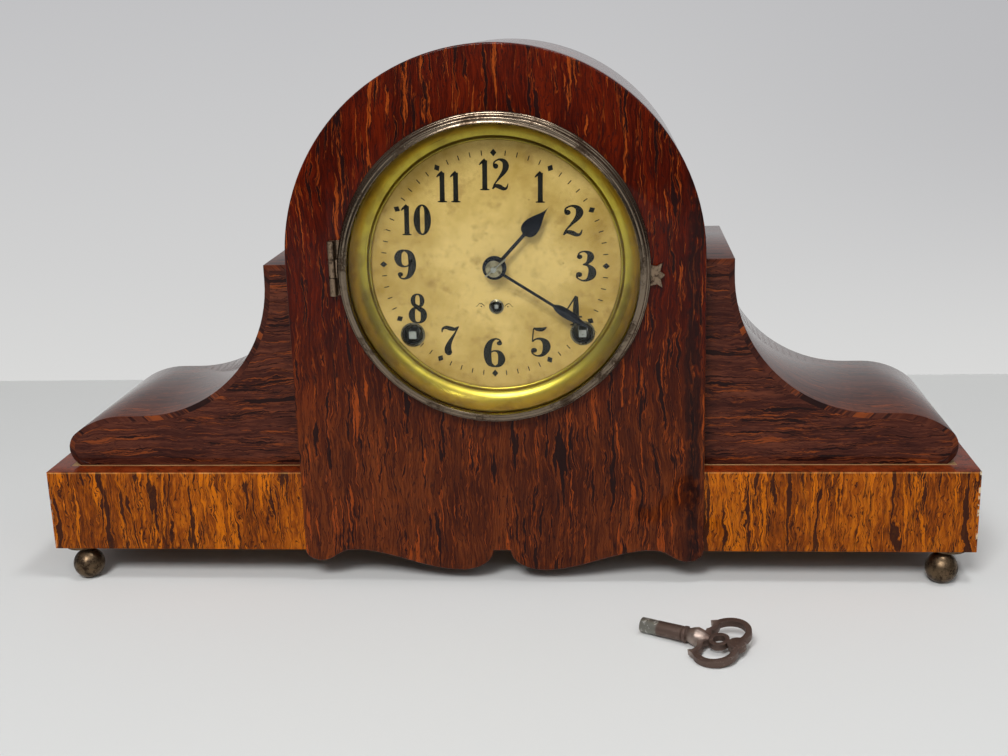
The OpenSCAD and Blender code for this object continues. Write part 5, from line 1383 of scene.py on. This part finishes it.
@dataclass(frozen=True)
class Lamp:
    """A soft rectangular light."""

    name: str
    place: tuple[float, float, float]
    size: tuple[float, float]
    power: float
    colour: tuple[float, float, float] = (1.0, 1.0, 1.0)
    target: tuple[float, float, float] = (0.0, 0.0, 0.12)

    def build(self) -> None:
        """Hangs the light and aims it."""
        bpy.ops.object.light_add(type="AREA", location=self.place)
        lamp = bpy.context.object
        lamp.name = self.name
        lamp.data.shape = "RECTANGLE"
        lamp.data.size, lamp.data.size_y = self.size
        lamp.data.energy = self.power
        lamp.data.color = self.colour
        way = Vector(self.target) - Vector(self.place)
        lamp.rotation_euler = way.to_track_quat("-Z", "Y").to_euler()


@dataclass
class Studio:
    """Floor, backdrop, lights and camera."""

    wall_y: float = 0.36
    floor_half: float = 3.0
    camera_at: tuple[float, float, float] = (0.0638, -0.723, 0.2952)
    yaw: float = 0.0903
    pitch: float = 0.2655
    roll: float = -0.0306
    lens: float = 47.5
    sensor: float = 36.0
    lamps: tuple[Lamp, ...] = (
        Lamp("key_light", (-0.42, -1.85, 1.85), (0.8, 0.8), 43.0),
        Lamp("top_light", (0.32, -0.2, 1.35), (0.36, 0.12), 4.0),
        Lamp("front_light", (0.6, -1.5, 1.1), (1.2, 0.6), 3.5))

    def ground(self) -> None:
        """Lays the floor and stands the backdrop on its far edge."""
        bpy.ops.mesh.primitive_plane_add(size=2 * self.floor_half,
                                         location=(0, self.wall_y - self.floor_half, 0))
        floor = bpy.context.object
        floor.name = "stage_floor"
        Bench.settle(floor)
        Bench.dress(floor, StageFloor("stage_floor"))
        bpy.ops.mesh.primitive_plane_add(size=2 * self.floor_half, rotation=(math.pi / 2, 0, 0),
                                         location=(0, self.wall_y, self.floor_half - 0.001))
        wall = bpy.context.object
        wall.name = "stage_wall"
        Bench.settle(wall)
        Bench.dress(wall, StageWall("stage_wall"))

    def sky(self) -> None:
        """Makes the soft light all round, brighter above and dim in front."""
        world = bpy.data.worlds.new("studio_world")
        bpy.context.scene.world = world
        sheet = Sheet(world)
        way = sheet.add("ShaderNodeTexCoord", output="Generated")
        _, y, z = sheet.split(way)
        level = 0.06 + z.rise(0.05, 0.75) * 0.3 + y.rise(0.1, 0.8) * 0.3
        shade = sheet.add("ShaderNodeBackground", None, {0: (1.0, 1.0, 1.0, 1.0), 1: level})
        sheet.add("ShaderNodeOutputWorld", None, {0: shade})

    def camera(self) -> None:
        """Sets the camera where the photograph was taken from."""
        level = math.cos(self.pitch)
        forward = Vector((-math.sin(self.yaw) * level, math.cos(self.yaw) * level, -math.sin(self.pitch)))
        right = Vector((math.cos(self.yaw), math.sin(self.yaw), 0))
        up = right.cross(forward)
        turned_right = math.cos(self.roll) * right + math.sin(self.roll) * up
        turned_up = -math.sin(self.roll) * right + math.cos(self.roll) * up
        bpy.ops.object.camera_add()
        camera = bpy.context.object
        basis = Matrix((turned_right, turned_up, -forward)).transposed().to_4x4()
        camera.matrix_world = Matrix.Translation(Vector(self.camera_at)) @ basis
        camera.data.lens = self.lens
        camera.data.sensor_width = self.sensor
        bpy.context.scene.camera = camera

    def build(self) -> None:
        """Sets up the whole studio."""
        self.ground()
        self.sky()
        for lamp in self.lamps:
            lamp.build()
        self.camera()
        bpy.context.scene.view_settings.view_transform = "Standard"


def main() -> None:
    """Builds and dresses every sub-assembly."""
    logging.basicConfig(level=logging.INFO, format="%(message)s")
    case, feet, bezel, dial, hands = CaseWork(), Feet(), Bezel(), Dial(), Hands()
    works, key = Works(), WindingKey()
    for assembly in (case, feet, bezel, dial, hands, key):
        assembly.build()
    for assembly in (case, feet, bezel, dial, hands, works, key):
        assembly.dress()
    Studio().build()


if __name__ == "__main__":
    main()
